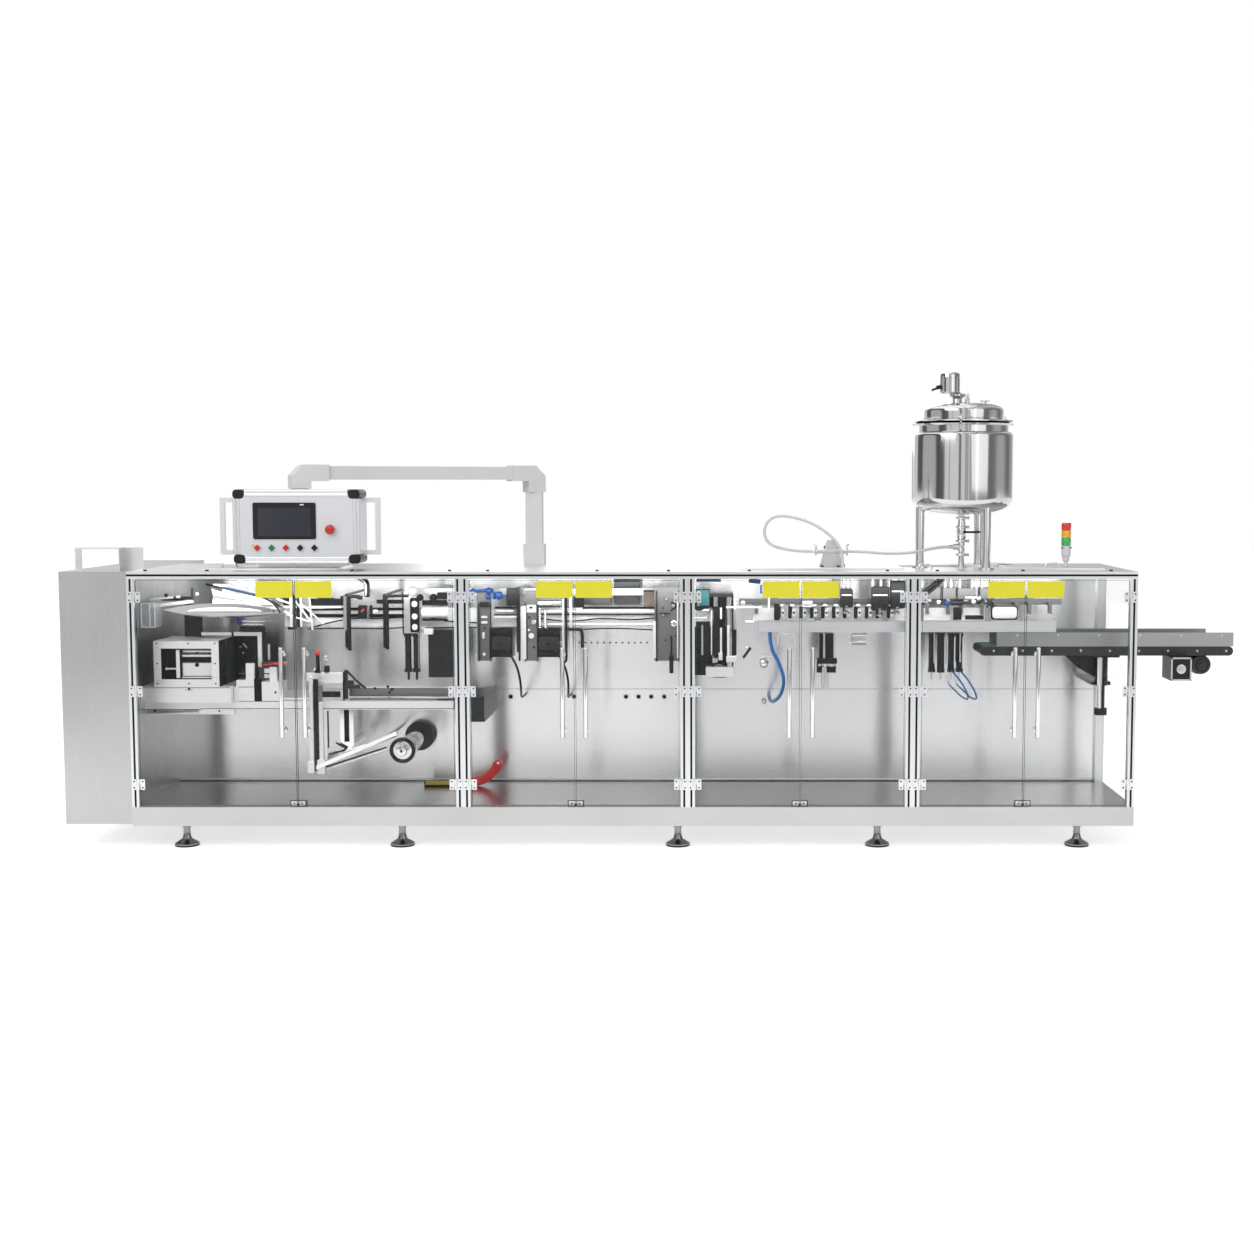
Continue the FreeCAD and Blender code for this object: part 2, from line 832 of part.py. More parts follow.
def leaf(line, side, meeting):
    """A frameless glass leaf with its three hinge plates and its bar handle."""
    width = "abs(" + meeting + " - (" + line + ")) - glass_side_gap - meeting_gap / 2"
    parts = [block(span("(" + line + ")", side, "glass_side_gap", "glass_side_gap + " + width), "front", "glass_low",
                   width, "glass_thickness", "glass_high - glass_low")]
    for level in HINGE_LEVELS:
        parts += hinge_half("(" + line + ")", side, level, True)
    grip = "(" + meeting + ") " + ("-" if side > 0 else "+") + " handle_inset"
    parts.append(rod(grip, "front - handle_stand", "handle_low", "handle_radius", "handle_length"))
    for level in ("handle_low + handle_post_inset", "handle_low + handle_length - handle_post_inset"):
        parts.append(rod(grip, "front - handle_stand", level, "handle_post_radius", "handle_stand", "y"))
    return join(parts)


post_halves = []
for node, line, side, meeting in LEAVES:
    keep(node, leaf(line, side, meeting))
    for level in HINGE_LEVELS:
        post_halves.append(join(hinge_half("(" + line + ")", -side, level, False)))
keep("hinge_plates", group(post_halves))


# Operator screen on its swing arm

def square_bar(x, y, z, side, height):
    """An upright square bar from the middle of its foot."""
    return block("(" + x + ") - " + side + " / 2", "(" + y + ") - " + side + " / 2", z, side, side, height)


def elbow(x, y, turn, drop):
    """A square casting: a sleeve along the arm, turned down past a bevelled corner."""
    across = "elbow_side / 2"
    body = padded(x + " - " + across + " * (cos(" + turn + ") + sin(" + turn + "))",
                  y + " + " + across + " * (cos(" + turn + ") - sin(" + turn + "))", "sleeve_low", "XZ_Plane",
                  [("0", "0 - " + drop), ("elbow_side", "0 - " + drop), ("elbow_side", "0"), ("elbow_length", "0"),
                   ("elbow_length", "elbow_sleeve"), ("elbow_bevel", "elbow_sleeve"),
                   ("0", "elbow_sleeve - elbow_bevel")], "elbow_side")
    body.Placement.Rotation = FreeCAD.Rotation(V(0, 0, 1), measure(turn))
    return body


keep("hmi_post", join([
    square_bar("arm_x", "arm_y", "deck_level", "arm_base_side", "arm_base_height"),
    square_bar("arm_x", "arm_y", "deck_level + arm_base_height", "arm_post_side",
               "sleeve_low - post_drop - arm_joint_gap - deck_level - arm_base_height")]))

boom = block("arm_x - arm_side / 2 * sin(arm_turn)", "arm_y + arm_side / 2 * cos(arm_turn)",
             "arm_level - arm_side / 2", "arm_reach", "arm_side", "arm_side")
boom.Placement.Rotation = FreeCAD.Rotation(V(0, 0, 1), 180 + size("arm_turn"))
keep("hmi_arm", join([boom, elbow("arm_x", "arm_y", "180 + arm_turn", "post_drop"),
                      elbow("neck_x", "neck_y", "arm_turn", "neck_drop")]))

case = rounded_bar("box_left", "box_front", "box_low", "box_width", "box_depth", "box_height", "box_corner", "y")
recess = block("neck_x - face_width / 2", "box_front", "box_low + (box_height - face_height) / 2",
               "face_width", "face_recess", "face_height")
neck = rod("neck_x", "neck_y", "box_top", "neck_radius", "neck_height")
keep("hmi_box", join([cut(case, [recess]), neck]))


def side_grip(edge, side):
    """A square U handle on one end of the screen housing."""
    low = "box_low + (box_height - grip_height) / 2"
    parts = [block(span(edge, side, "grip_reach - grip_bar", "grip_reach"), "neck_y - grip_bar / 2", low,
                   "grip_bar", "grip_bar", "grip_height")]
    for level in (low, low + " + grip_height - grip_bar"):
        parts.append(block(span(edge, side, "0", "grip_reach - grip_bar"), "neck_y - grip_bar / 2", level,
                           "grip_reach - grip_bar", "grip_bar", "grip_bar"))
    return join(parts)


keep("hmi_handles", group([side_grip("box_left", -1), side_grip("box_right", 1)]))

face_left = "(neck_x - face_width / 2)"
face_low = "(box_low + (box_height - face_height) / 2)"
face_top = "(" + face_low + " + face_height)"
toward = FreeCAD.Rotation(V(1, 0, 0), 90)
controls = [rounded_bar(face_left + " + screen_from_left", "face_front - screen_proud",
                        face_top + " - screen_from_top - screen_height",
                        "screen_width", "screen_proud", "screen_height", "screen_corner", "y")]
for number in range(5):
    controls.append(rod(face_left + " + button_first + " + str(number) + " * button_pitch", "face_front",
                        face_low + " + button_level - button_radius", "button_radius", "button_height", toward))
stop_x = "neck_x + face_width / 2 - stop_from_right"
controls.append(join([
    rod(stop_x, "face_front", face_low + " + stop_level", "stop_ring_radius", "screen_proud", toward),
    rod(stop_x, "face_front", face_low + " + stop_level", "stop_radius", "stop_height", toward)]))
keep("hmi_controls", group(controls))


# Mixing tank

DISH_STEPS = (0, 1, 2, 3, 4, 5)


def dished(radius, level, rise, inward=False):
    """The section of a dished end from its middle to its edge, as a row of straight stretches."""
    places = [("(" + radius + ") * " + str(step) + " / 5", "(" + level + ") + (" + rise + ") * (1 - pow("
               + str(step) + " / 5; 2))") for step in DISH_STEPS]
    return places[::-1] if inward else places


keep("tank_shell", revolved("tank_x", "tank_y", 0, [
    ("tank_radius - tank_wall", "tank_low"), ("tank_radius", "tank_low"), ("tank_radius", "tank_high"),
    ("tank_neck_radius", "tank_high + tank_wall"), ("tank_neck_radius", "rim_low"), ("tank_rim_radius", "rim_low"),
    ("tank_rim_radius", "lid_low"), ("lid_radius - lid_seat", "lid_low"), ("lid_radius - lid_seat", "rim_low"),
    ("tank_neck_radius - tank_wall", "rim_low"), ("tank_neck_radius - tank_wall", "tank_high"),
    ("tank_radius - tank_wall", "tank_high - tank_wall")]))
outlet = rod("tank_x", "tank_y", "tank_low - tank_dish - tank_wall", "tank_outlet_radius", "2 * tank_wall")
keep("tank_bottom", join([
    revolved("tank_x", "tank_y", "tank_low", dished("tank_radius", "0", "0 - tank_dish")
             + dished("tank_radius - tank_wall", "0", "tank_wall - tank_dish", True)), outlet]))
keep("tank_lid", revolved("tank_x", "tank_y", "lid_low",
                          [("0", "0")] + dished("lid_radius", "lid_plate", "lid_dome") + [("lid_radius", "0")]))

legs = []
dish_tool = revolved("tank_x", "tank_y", "tank_low", dished("tank_radius", "0", "0 - tank_dish") + [("0", "0")])
for number in range(3):
    turn = "leg_first_turn + " + str(number * 120)
    x = "tank_x + leg_ring * cos(" + turn + ")"
    y = "tank_y + leg_ring * sin(" + turn + ")"
    bar = rod(x, y, "deck_level", "leg_radius", "tank_low - deck_level")
    legs.append(cut(join([bar, rod(x, y, "deck_level", "leg_foot_radius", "leg_foot_height")]), [dish_tool]))
keep("tank_legs", group(legs))

stool = rod("tank_x - motor_back / 2", "tank_y", "lid_low + lid_plate", "stool_radius",
            "lid_dome + stool_height")
stool = cut(stool, [revolved("tank_x", "tank_y", "lid_low", [("0", "0")] + dished("lid_radius", "lid_plate", "lid_dome")
                             + [("lid_radius", "0")])])
keep("agitator_drive", join([
    stool, rod("tank_x - motor_back", "tank_y", "lid_top + stool_height", "motor_radius", "motor_length")]))

valve_low = "tank_low - tank_dish - tank_wall - valve_height"
keep("outlet_valve", join([
    rod("tank_x - tee_reach", "tank_y", "tee_level", "tee_radius", "tee_reach", "x"),
    rod("tank_x", "tank_y", valve_low, "valve_radius", "valve_height"),
    rod("tank_x", "tank_y", "deck_level", "outlet_pipe_radius", valve_low + " - deck_level")]))


# Other things on the deck

pole_top = "deck_level + tower_pole_height"
keep("signal_tower", join([
    rod("tower_x", "tower_y", "deck_level", "tower_pole_radius", "tower_pole_height"),
    rod("tower_x", "tower_y", pole_top, "tower_radius", "tower_base_height + 3 * tower_lens_height")]))

keep("pump_bracket", join([
    rod("pump_x - port_reach", "pump_y + pump_plate * 11 / 2", "port_level", "tee_radius",
        "pump_width + 2 * port_reach", "x"),
    rod("frame_left + deck_port_from_left", "pump_y + pump_plate", "deck_level", "tee_radius", "deck_port_height"),
    block("pump_x", "pump_y", "deck_level", "pump_width", "pump_base_depth", "pump_plate"),
    padded("pump_x", "pump_y + pump_plate * 6", "deck_level", "XZ_Plane",
           [("0", "0"), ("pump_width", "0"), ("pump_width * 2 / 3", "pump_height"), ("pump_width / 3", "pump_height")],
           "pump_plate")]))

guard_x = "frame_left - cabinet_width + guard_sheet"
guard_y = "front + guard_depth_at"
keep("guard_box", join([
    block(guard_x, guard_y, "deck_level", "guard_sheet", "guard_depth", "guard_height - guard_sheet"),
    block(guard_x + " + guard_width - guard_sheet", guard_y, "deck_level", "guard_sheet", "guard_depth",
          "guard_height - guard_sheet"),
    block(guard_x, guard_y, "deck_level + guard_height - guard_sheet", "guard_width", "guard_depth", "guard_sheet"),
    block(guard_x + " + guard_width - guard_sheet", guard_y + " + guard_depth - guard_sheet", "deck_level",
          "guard_sheet + guard_wing", "guard_sheet", "guard_height")]))


# Outfeed conveyor

near_roller = "conveyor_x + side_height / 2"
far_roller = "conveyor_end - side_height / 2"
roller_span = far_roller + " - (" + near_roller + ")"


def stadium(y, width, reach):
    """A block with round ends that wraps both roller centres at a given reach."""
    return rounded_bar(near_roller + " - (" + reach + ")", y, "roller_level - (" + reach + ")",
                       roller_span + " + 2 * (" + reach + ")", width, "2 * (" + reach + ")",
                       "(" + reach + ") - belt_sheet / 10", "y")


frame_parts = [stadium("conveyor_y", "side_plate", "side_height / 2"),
               stadium("front + conveyor_rear - side_plate", "side_plate", "side_height / 2")]
for x in (near_roller, far_roller):
    frame_parts.append(rod(x, "conveyor_y + side_plate", "roller_level", "roller_radius - seat_gap",
                           "conveyor_width - 2 * side_plate", "y"))
frame_parts.append(block(near_roller, "conveyor_y + side_plate", "roller_level - roller_radius / 2", roller_span,
                         "conveyor_width - 2 * side_plate", "roller_radius"))
for y, short in (("conveyor_y", "0"), ("front + conveyor_rear - guide_sheet", "rear_guide_short")):
    frame_parts.append(block("conveyor_x + guide_from_start", y, "side_low + side_height",
                             "conveyor_end - conveyor_x - guide_from_start - " + short, "guide_sheet",
                             "guide_height"))
keep("conveyor_frame", join(frame_parts))
keep("conveyor_belt", cut(
    stadium("conveyor_y + side_plate + belt_gap", "conveyor_width - 2 * (side_plate + belt_gap)",
            "roller_radius + belt_sheet"),
    [stadium("conveyor_y + side_plate", "conveyor_width - 2 * side_plate", "roller_radius")]))

gear_x = "frame_left + gearbox_from_left"
drive_x = gear_x + " + gearbox_width + drive_from_box"
drive_z = "side_low - drive_radius - seat_gap"
keep("conveyor_drive", join([
    block(gear_x, "conveyor_y - gearbox_depth / 2", "side_low - gearbox_height", "gearbox_width", "gearbox_depth",
          "gearbox_height"),
    block(gear_x + " + gearbox_width", "conveyor_y + drive_front", drive_z + " - drive_radius / 2",
          "drive_from_box", "flange_plate", "drive_radius"),
    rod(drive_x, "conveyor_y + drive_front", drive_z, "drive_radius", "drive_length", "y")]))

column_arm = block("column_x - clamp_width / 2", "column_y", "column_low", "clamp_width", "wall_front - column_y",
                   "clamp_plate")
column_web = padded("column_x - clamp_width / 2 - bracket_length", "column_y + arm_bar", "side_low - head_plate",
                    "XZ_Plane", [("0", "0"), ("bracket_length + clamp_width / 2", "0"),
                                 ("bracket_length + clamp_width / 2", "0 - bracket_height"),
                                 ("bracket_length / 2", "0 - bracket_height / 2")], "clamp_plate")
keep("conveyor_column", join([
    rod("column_x", "column_y", "column_low", "column_radius", "side_low - head_plate - column_low"),
    rod("column_x", "column_y", "shaft_low", "shaft_radius", "column_low - shaft_low"),
    rod("column_x", "column_y", "shaft_low - collar_height", "column_radius", "collar_height"),
    block("column_x - 2 * column_radius", "conveyor_y", "side_low - head_plate", "4 * column_radius",
          "conveyor_width", "head_plate"),
    column_arm, column_web]))


# Pouch line

def wall_arm(x, y, z, width="arm_bar", height="arm_bar"):
    """A square bar from a piece back to the wall that carries it."""
    return block(x, y, z, width, "wall_front - (" + y + ")", height)


def air_cylinder(x, y, low, length):
    """An upright air cylinder: two square caps, the barrel between them and the rod below."""
    side = "2 * cylinder_radius"
    body = "(" + low + ") + cylinder_rod"
    return [
        rod(x, y, low, "cylinder_radius / 3", "cylinder_rod"),
        block("(" + x + ") - cylinder_radius", "(" + y + ") - cylinder_radius", body, side, side, "cylinder_cap"),
        rod(x, y, body + " + cylinder_cap", "cylinder_radius * 9 / 10", length + " - 2 * cylinder_cap"),
        block("(" + x + ") - cylinder_radius", "(" + y + ") - cylinder_radius",
              body + " + " + length + " - cylinder_cap", side, side, "cylinder_cap")]


tray_x = "frame_left + tray_start"
tray_y = "front + tray_depth_at"
tray_parts = [cut(block(tray_x, tray_y, "tray_level", "tray_length", "tray_width", "tray_height"),
                  [block(tray_x, tray_y + " + tray_sheet", "tray_level + tray_sheet", "tray_length",
                         "tray_width - 2 * tray_sheet", "tray_height")])]
for share in (1, 3, 5):
    tray_parts.append(wall_arm(tray_x + " + tray_length * " + str(share) + " / 6", tray_y + " + tray_width",
                               "tray_level", "arm_bar", "arm_bar / 2"))
keep("product_tray", join(tray_parts))

near_face = "line_y - film_gap / 2"
far_face = "line_y + film_gap / 2"


def jaws(left, width, low, high):
    """Two upright plates that face each other across the film, bridged over its top edge."""
    x = "frame_left + " + left
    return [
        block(x, near_face + " - jaw_plate", low, width, "jaw_plate", high + " - " + low),
        block(x, far_face, low, width, "jaw_plate", high + " - " + low),
        block(x, near_face + " - jaw_plate", high, width, "bar_y - (" + near_face + ") + jaw_plate", "jaw_bridge")]


def sealing_station(left):
    """A pair of heated jaws with the actuator that closes them hung beside them under the film."""
    parts = jaws(left, "jaw_width", "jaw_low", "jaw_high")
    parts.append(block("frame_left + " + left + " + jaw_width", near_face + " - jaw_plate", "jaw_low + cylinder_cap",
                       "actuator_length", "actuator_depth", "actuator_height"))
    return parts


bar_parts = [block("frame_left + top_bar_start", "bar_y", "top_bar_level", "top_bar_length", "arm_bar", "arm_bar")]
for share in (1, 4, 9):
    bar_parts.append(wall_arm("frame_left + top_bar_start + top_bar_length * " + str(share) + " / 10",
                              "bar_y + arm_bar", "top_bar_level"))
bar_parts += sealing_station("seal_one") + sealing_station("seal_two")
bar_parts += jaws("gauge_left", "gauge_width", "jaw_low", "gauge_high - jaw_bridge - arm_bar / 2")
bar_parts.append(block("frame_left + gauge_left", near_face + " - jaw_plate", "gauge_high - arm_bar", "gauge_width",
                       "jaw_plate", "arm_bar"))
keep("sealing_stations", join(bar_parts))

punch_x = "frame_left + punch_left"
punch_parts = [block(punch_x, near_face + " - jaw_plate * 2", "punch_block_low", "punch_block_width",
                     "jaw_plate * 2", "top_bar_level - punch_block_low"),
               block(punch_x, far_face, "punch_block_low", "punch_block_width", "bar_y - (" + far_face + ")",
                     "top_bar_level - punch_block_low"),
               block(punch_x, near_face + " - jaw_plate * 2", "top_bar_level", "punch_block_width",
                     "bar_y - (" + near_face + ") + jaw_plate * 2", "jaw_bridge")]
for side in ("cylinder_radius", "cylinder_radius * 3 + film_gap"):
    punch_parts += air_cylinder(punch_x + " - cylinder_radius / 4 + " + side, near_face + " - jaw_plate",
                                "punch_block_low - cylinder_length - cylinder_rod", "cylinder_length")
punch_parts.append(block("frame_left + punch_box_left", near_face + " - jaw_plate", "punch_box_low",
                         "punch_box_width", "actuator_depth", "punch_box_height"))
punch_parts.append(block(punch_x + " + punch_block_width", near_face + " - jaw_plate", "punch_block_low",
                         "punch_box_left - punch_left - punch_block_width", "jaw_plate", "cylinder_cap - film_gap / 2"))
keep("punch_station", join(punch_parts))

cutter_x = "frame_left + cutter_left"
cutter_back_y = far_face + " + jaw_plate"
cutter_parts = [block(cutter_x, far_face, "cutter_low", "cutter_width", "cutter_plate",
                      "top_bar_level - cutter_low"),
                wall_arm(cutter_x + " + cutter_width / 2", far_face + " + cutter_plate", "top_bar_level - 2 * arm_bar"),
                block(cutter_x + " + cutter_width / 3", near_face + " - cutter_back", "cutter_low",
                      "cutter_width * 2 / 3", "cutter_back + film_gap", "cutter_foot_height"),
                block(cutter_x, near_face + " - cutter_back", "top_bar_level", "cutter_width",
                      "cutter_back + film_gap + cutter_plate", "cutter_plate")]
for share in ("cutter_width * 5 / 9", "cutter_width * 8 / 9"):
    cutter_parts.append(rod(cutter_x + " + " + share, near_face + " - cutter_back / 2",
                            "cutter_low + cutter_foot_height", "cutter_shaft_radius",
                            "top_bar_level - cutter_low - cutter_foot_height"))
cutter_parts.append(rod(cutter_x + " + cutter_drum_radius", near_face + " - cutter_back",
                        "top_bar_level - cutter_drum_radius", "cutter_drum_radius", "cutter_back - seat_gap", "y"))
keep("cutting_station", join(cutter_parts))

film_parts = [block("frame_left + film_start", "line_y - film_sheet / 2", "film_low",
                    "film_length", "film_sheet", "film_high - film_low")]
grips = [block("frame_left + rail_start", "rail_y", "rail_level", "rail_length", "rail_side", "rail_side")]
for share in (1, 5, 9):
    grips.append(wall_arm("frame_left + rail_start + rail_length * " + str(share) + " / 10", "rail_y + rail_side",
                          "rail_level", "arm_bar", "rail_side"))
finger_gap = "(film_sheet / 2 + seat_gap)"
for number in range(int(size("pouch_count"))):
    x = "frame_left + pouch_first + " + str(number) + " * pouch_pitch"
    film_parts.append(block(x, "line_y - film_sheet / 2", "film_low + rail_side", "pouch_width", "film_sheet",
                            "film_high - film_low - rail_side"))
    for edge in ("finger_width / 2", "pouch_width - finger_width * 3 / 2"):
        grip_x = x + " + " + edge
        grips.append(block(grip_x, "line_y - finger_width - " + finger_gap, "rail_level", "finger_width",
                           "rail_setback + finger_width + " + finger_gap, "rail_side / 2"))
        for y in ("line_y - finger_width - " + finger_gap, "line_y + " + finger_gap):
            grips.append(block(grip_x, y, "rail_level - finger_drop", "finger_width", "finger_width", "finger_drop"))
keep("film_web", group(film_parts))
keep("gripper_row", join(grips))

heads = []
for word in COUNT_WORDS:
    x = "frame_left + head_" + word
    width = "head_" + word + "_width"
    y = "line_y - head_depth / 2"
    heads.append(join([
        block(x, y, "head_low", width, "head_depth", "head_body_height"),
        rod(x + " + " + width + " / 2", "line_y", "head_low - nozzle_height + film_gap", "nozzle_radius",
            "nozzle_height - film_gap"),
        rod(x + " + head_rod_radius * 3 / 2", "line_y", "head_low + head_body_height", "head_rod_radius",
            "deck_level - deck_sheet - head_low - head_body_height"),
        rod(x + " + " + width + " - head_rod_radius * 3 / 2", "line_y", "head_low + head_body_height",
            "head_rod_radius", "deck_level - deck_sheet - head_low - head_body_height")]))
keep("filler_heads", group(heads))

lift_top = "tray_level - cylinder_cap"
lifts = []
for along in ("lift_one", "lift_two", "lift_three", "lift_four"):
    x = "frame_left + " + along
    low = lift_top + " - cylinder_length - cylinder_rod"
    lifts.append(join(air_cylinder(x, "line_y", low, "cylinder_length") + [
        wall_arm(x + " - cylinder_radius", "line_y + cylinder_radius", lift_top + " - cylinder_cap",
                 "2 * cylinder_radius", "cylinder_cap")]))
guided_x = "frame_left + guided_lift"
foot_level = lift_top + " - guided_body_height - guided_foot_height"
lifts.append(join([
    block(guided_x + " - guided_body_width / 2", "line_y - guided_depth / 2", lift_top + " - guided_body_height",
          "guided_body_width", "guided_depth", "guided_body_height"),
    block(guided_x + " - guided_foot_width / 2", "line_y - guided_depth / 2", foot_level,
          "guided_foot_width", "guided_depth", "guided_foot_height"),
    rod(guided_x, "line_y", foot_level + " - guided_tube_length", "guided_tube_radius", "guided_tube_length"),
    wall_arm(guided_x + " - cylinder_radius", "line_y + guided_depth / 2", lift_top + " - 2 * cylinder_cap",
             "2 * cylinder_radius", "cylinder_cap")]))
keep("lift_cylinders", group(lifts))


# Film feed in the first bay

beam = block("frame_left", "beam_y", "beam_low", "table_length", "beam_depth", "beam_height")
table = block("frame_left", "beam_y + beam_depth", "beam_top - table_plate", "table_length",
              "wall_front - beam_y - beam_depth", "table_plate")
shelf = block("frame_left", "beam_y", "beam_low - shelf_height", "shelf_length", "beam_depth / 2", "shelf_height")
gusset = padded("frame_left + table_length", "wall_front", "beam_low - gusset_height / 2", "XZ_Plane",
                [("0", "0"), ("gusset_width", "0"), ("gusset_width", "gusset_height"),
                 ("0", "gusset_height / 2 + beam_height")], "wall_front - beam_y - beam_depth / 2")
keep("infeed_table", join([beam, table, shelf, gusset]))

box_x = "frame_left + window_box_left"
box_y = "front + window_box_depth_at"
box_z = "beam_top + window_base_height"
window_frame = cut(
    block(box_x, box_y, box_z, "window_box_width", "window_box_depth", "window_box_height"),
    [block(box_x + " + window_box_wall", box_y, box_z + " + window_box_wall",
           "window_box_width - 2 * window_box_wall", "window_box_depth", "window_box_height - 2 * window_box_wall")])
table_items = [
    join([window_frame, block("frame_left", box_y, "beam_top", "window_base_width",
                              "window_box_depth", "window_base_height")]),
    join([block("frame_left + stop_block_left", "beam_y", "beam_top", "stop_block_width", "beam_depth * 3 / 2",
                "stop_block_height"),
          block("frame_left + stop_block_left + stop_block_width - stop_plate_width", "beam_y",
                "beam_top + stop_block_height", "stop_plate_width", "beam_depth / 2", "stop_plate_height")]),
    join([block("frame_left + feed_block_left", "beam_y", "beam_top", "feed_block_width", "beam_depth * 2",
                "feed_block_height"),
          block("frame_left + feed_block_left + feed_block_width / 3", "beam_y + beam_depth / 2",
                "beam_top + feed_block_height", "feed_block_width / 3", "beam_depth / 2", "feed_block_height * 3 / 4"),
          rod("frame_left + feed_block_left", "beam_y + beam_depth / 2",
              "beam_top + feed_block_height * 7 / 4 + feed_knob_radius", "feed_knob_radius", "feed_knob_length", "x")]),
    block("frame_left + feed_motor_left", "beam_y + beam_depth * 5", "beam_top", "feed_motor_width",
          "feed_motor_width", "feed_motor_height")]
keep("film_box", group(table_items))


def former_solid():
    """A lens: two shallow arcs over the same chord, carried back along Y."""
    half = size("former_length") / 2
    rise = size("former_rise")
    top = Part.Arc(V(-half, 0, 0), V(0, 0, rise), V(half, 0, 0)).toShape()
    low = Part.Arc(V(-half, 0, 0), V(0, 0, -rise), V(half, 0, 0)).toShape()
    return Part.Face(Part.Wire([top, low])).extrude(V(0, size("former_depth"), 0))


def plow_solid():
    """The upright guide sheet over the former: its top edge falls in one long curve to the film."""
    reach = size("plow_length")
    height = size("plow_height")
    edge = Part.Arc(V(0, 0, height), V(reach * 0.55, 0, height * 0.72), V(reach, 0, 0)).toShape()
    sides = [Part.makeLine(V(reach, 0, 0), V(0, 0, 0)), Part.makeLine(V(0, 0, 0), V(0, 0, height))]
    return Part.Face(Part.Wire([edge] + sides)).extrude(V(0, size("plow_sheet"), 0))


former_x = "frame_left + former_left + former_length / 2"
former_y = "front + former_depth_at"
keep("film_former", join([
    drawn("Lens", former_solid, former_x, former_y, "former_level"),
    drawn("Plow", plow_solid, former_x + " - former_length / 8", former_y + " + former_depth / 2", "former_level"),
    wall_arm(former_x, former_y + " + former_depth", "former_level - arm_bar / 4", "arm_bar", "arm_bar / 2")]))

hangers = []
for along, low, high, y, roll in (
        ("hanger_one", "hanger_one_low", "hanger_one_high", "beam_y - hanger_bar", "roll_length"),
        ("hanger_two", "hanger_two_low", "beam_low", "beam_y", "roll_length - beam_depth")):
    x = "frame_left + " + along
    parts = [rod(x, y, low, "roll_radius", roll, "y")]
    for side in (-1, 1):
        parts.append(block(x + " + " + str(side) + " * hanger_spacing / 2 - hanger_bar / 2", y, low, "hanger_bar",
                           "hanger_bar", high + " - (" + low + ")"))
    if along == "hanger_one":
        parts.append(padded(x, y, low, "XZ_Plane", [
            ("0", "-hanger_bar / 2"), ("film_arm_run", "film_arm_rise - hanger_bar / 2"),
            ("film_arm_run", "film_arm_rise + hanger_bar / 2"), ("0", "hanger_bar / 2")], "hanger_bar"))
        parts.append(rod(x + " + film_arm_post * film_arm_run", y + " + hanger_bar / 2",
                         low + " + film_arm_post * film_arm_rise", "film_arm_rod",
                         "wall_front - (" + y + ") - hanger_bar / 2", "y"))
    hangers.append(join(parts))
for along in ("guide_hook_one", "guide_hook_two"):
    x = "frame_left + " + along
    y = "front + guide_hook_depth_at"
    hangers.append(join([
        rod(x, y, "guide_hook_low", "guide_hook_radius", "guide_hook_high - guide_hook_low"),
        rod(x, y, "guide_hook_high", "guide_hook_radius", "wall_front - (" + y + ")", "y")]))
keep("guide_rollers", group(hangers))

keep("film_shaft", join([
    rod("spindle_x", "front + spindle_front", "spindle_level", "spindle_radius", "spindle_back - spindle_front", "y"),
    rod("spindle_x", "front + spindle_front", "spindle_level", "spindle_ring_radius", "spindle_ring", "y"),
    rod("spindle_x", "front + spindle_back - spindle_flange", "spindle_level", "spindle_flange_radius",
        "spindle_flange", "y")]))

lever_x = "frame_left + lever_left"
lever_y = "front + lever_depth_at"
keep("hand_lever", join([
    block(lever_x, lever_y, "pan_top", "lever_length", "lever_width", "lever_bar"),
    padded(lever_x + " + lever_length", lever_y + " + lever_width", "pan_top", "XZ_Plane",
           [("0", "0"), ("lever_reach / 2", "0"), ("lever_reach", "lever_rise / 2"), ("lever_reach", "lever_rise"),
            ("lever_reach * 3 / 4", "lever_rise"), ("lever_reach * 3 / 4", "lever_rise * 3 / 5"),
            ("lever_reach * 2 / 5", "lever_bar * 2"), ("0", "lever_bar * 2")], "lever_width")]))


# Hoses

def at(along, depth, level):
    """A point from the frame's left end, the front plane and the floor."""
    return V(measure("frame_left") + along, measure("front") + depth, level)


def hose(node, radius, points):
    """A round hose along straight runs joined by arcs, each as large as its two runs allow."""
    edges = []
    radii = []
    last = points[0]
    for before, corner, after in zip(points, points[1:], points[2:]):
        back = (before - corner).normalize()
        ahead = (after - corner).normalize()
        reach = 0.45 * min(before.distanceToPoint(corner), after.distanceToPoint(corner))
        half_turn = (math.pi - back.getAngle(ahead)) / 2
        bend = reach / math.tan(half_turn)
        inward = (back + ahead).normalize()
        halfway = corner + inward * (math.hypot(reach, bend) - bend)
        edges.append(Part.LineSegment(last, corner + back * reach).toShape())
        edges.append(Part.Arc(corner + back * reach, halfway, corner + ahead * reach).toShape())
        radii.append(round(bend))
        last = corner + ahead * reach
    edges.append(Part.LineSegment(last, points[-1]).toShape())
    path = Part.Wire(edges)
    start_way = points[1] - points[0]
    ring = Part.Wire(Part.makeCircle(radius, points[0], start_way))
    tube = path.makePipeShell([ring], True, False)
    expected = math.pi * radius * radius * path.Length
    print(node, "radii", radii, "length", round(path.Length), "volume ratio", round(tube.Volume / expected, 4))
    item = doc.addObject("Part::Feature", "Hose")
    item.Shape = tube
    return keep(node, item)


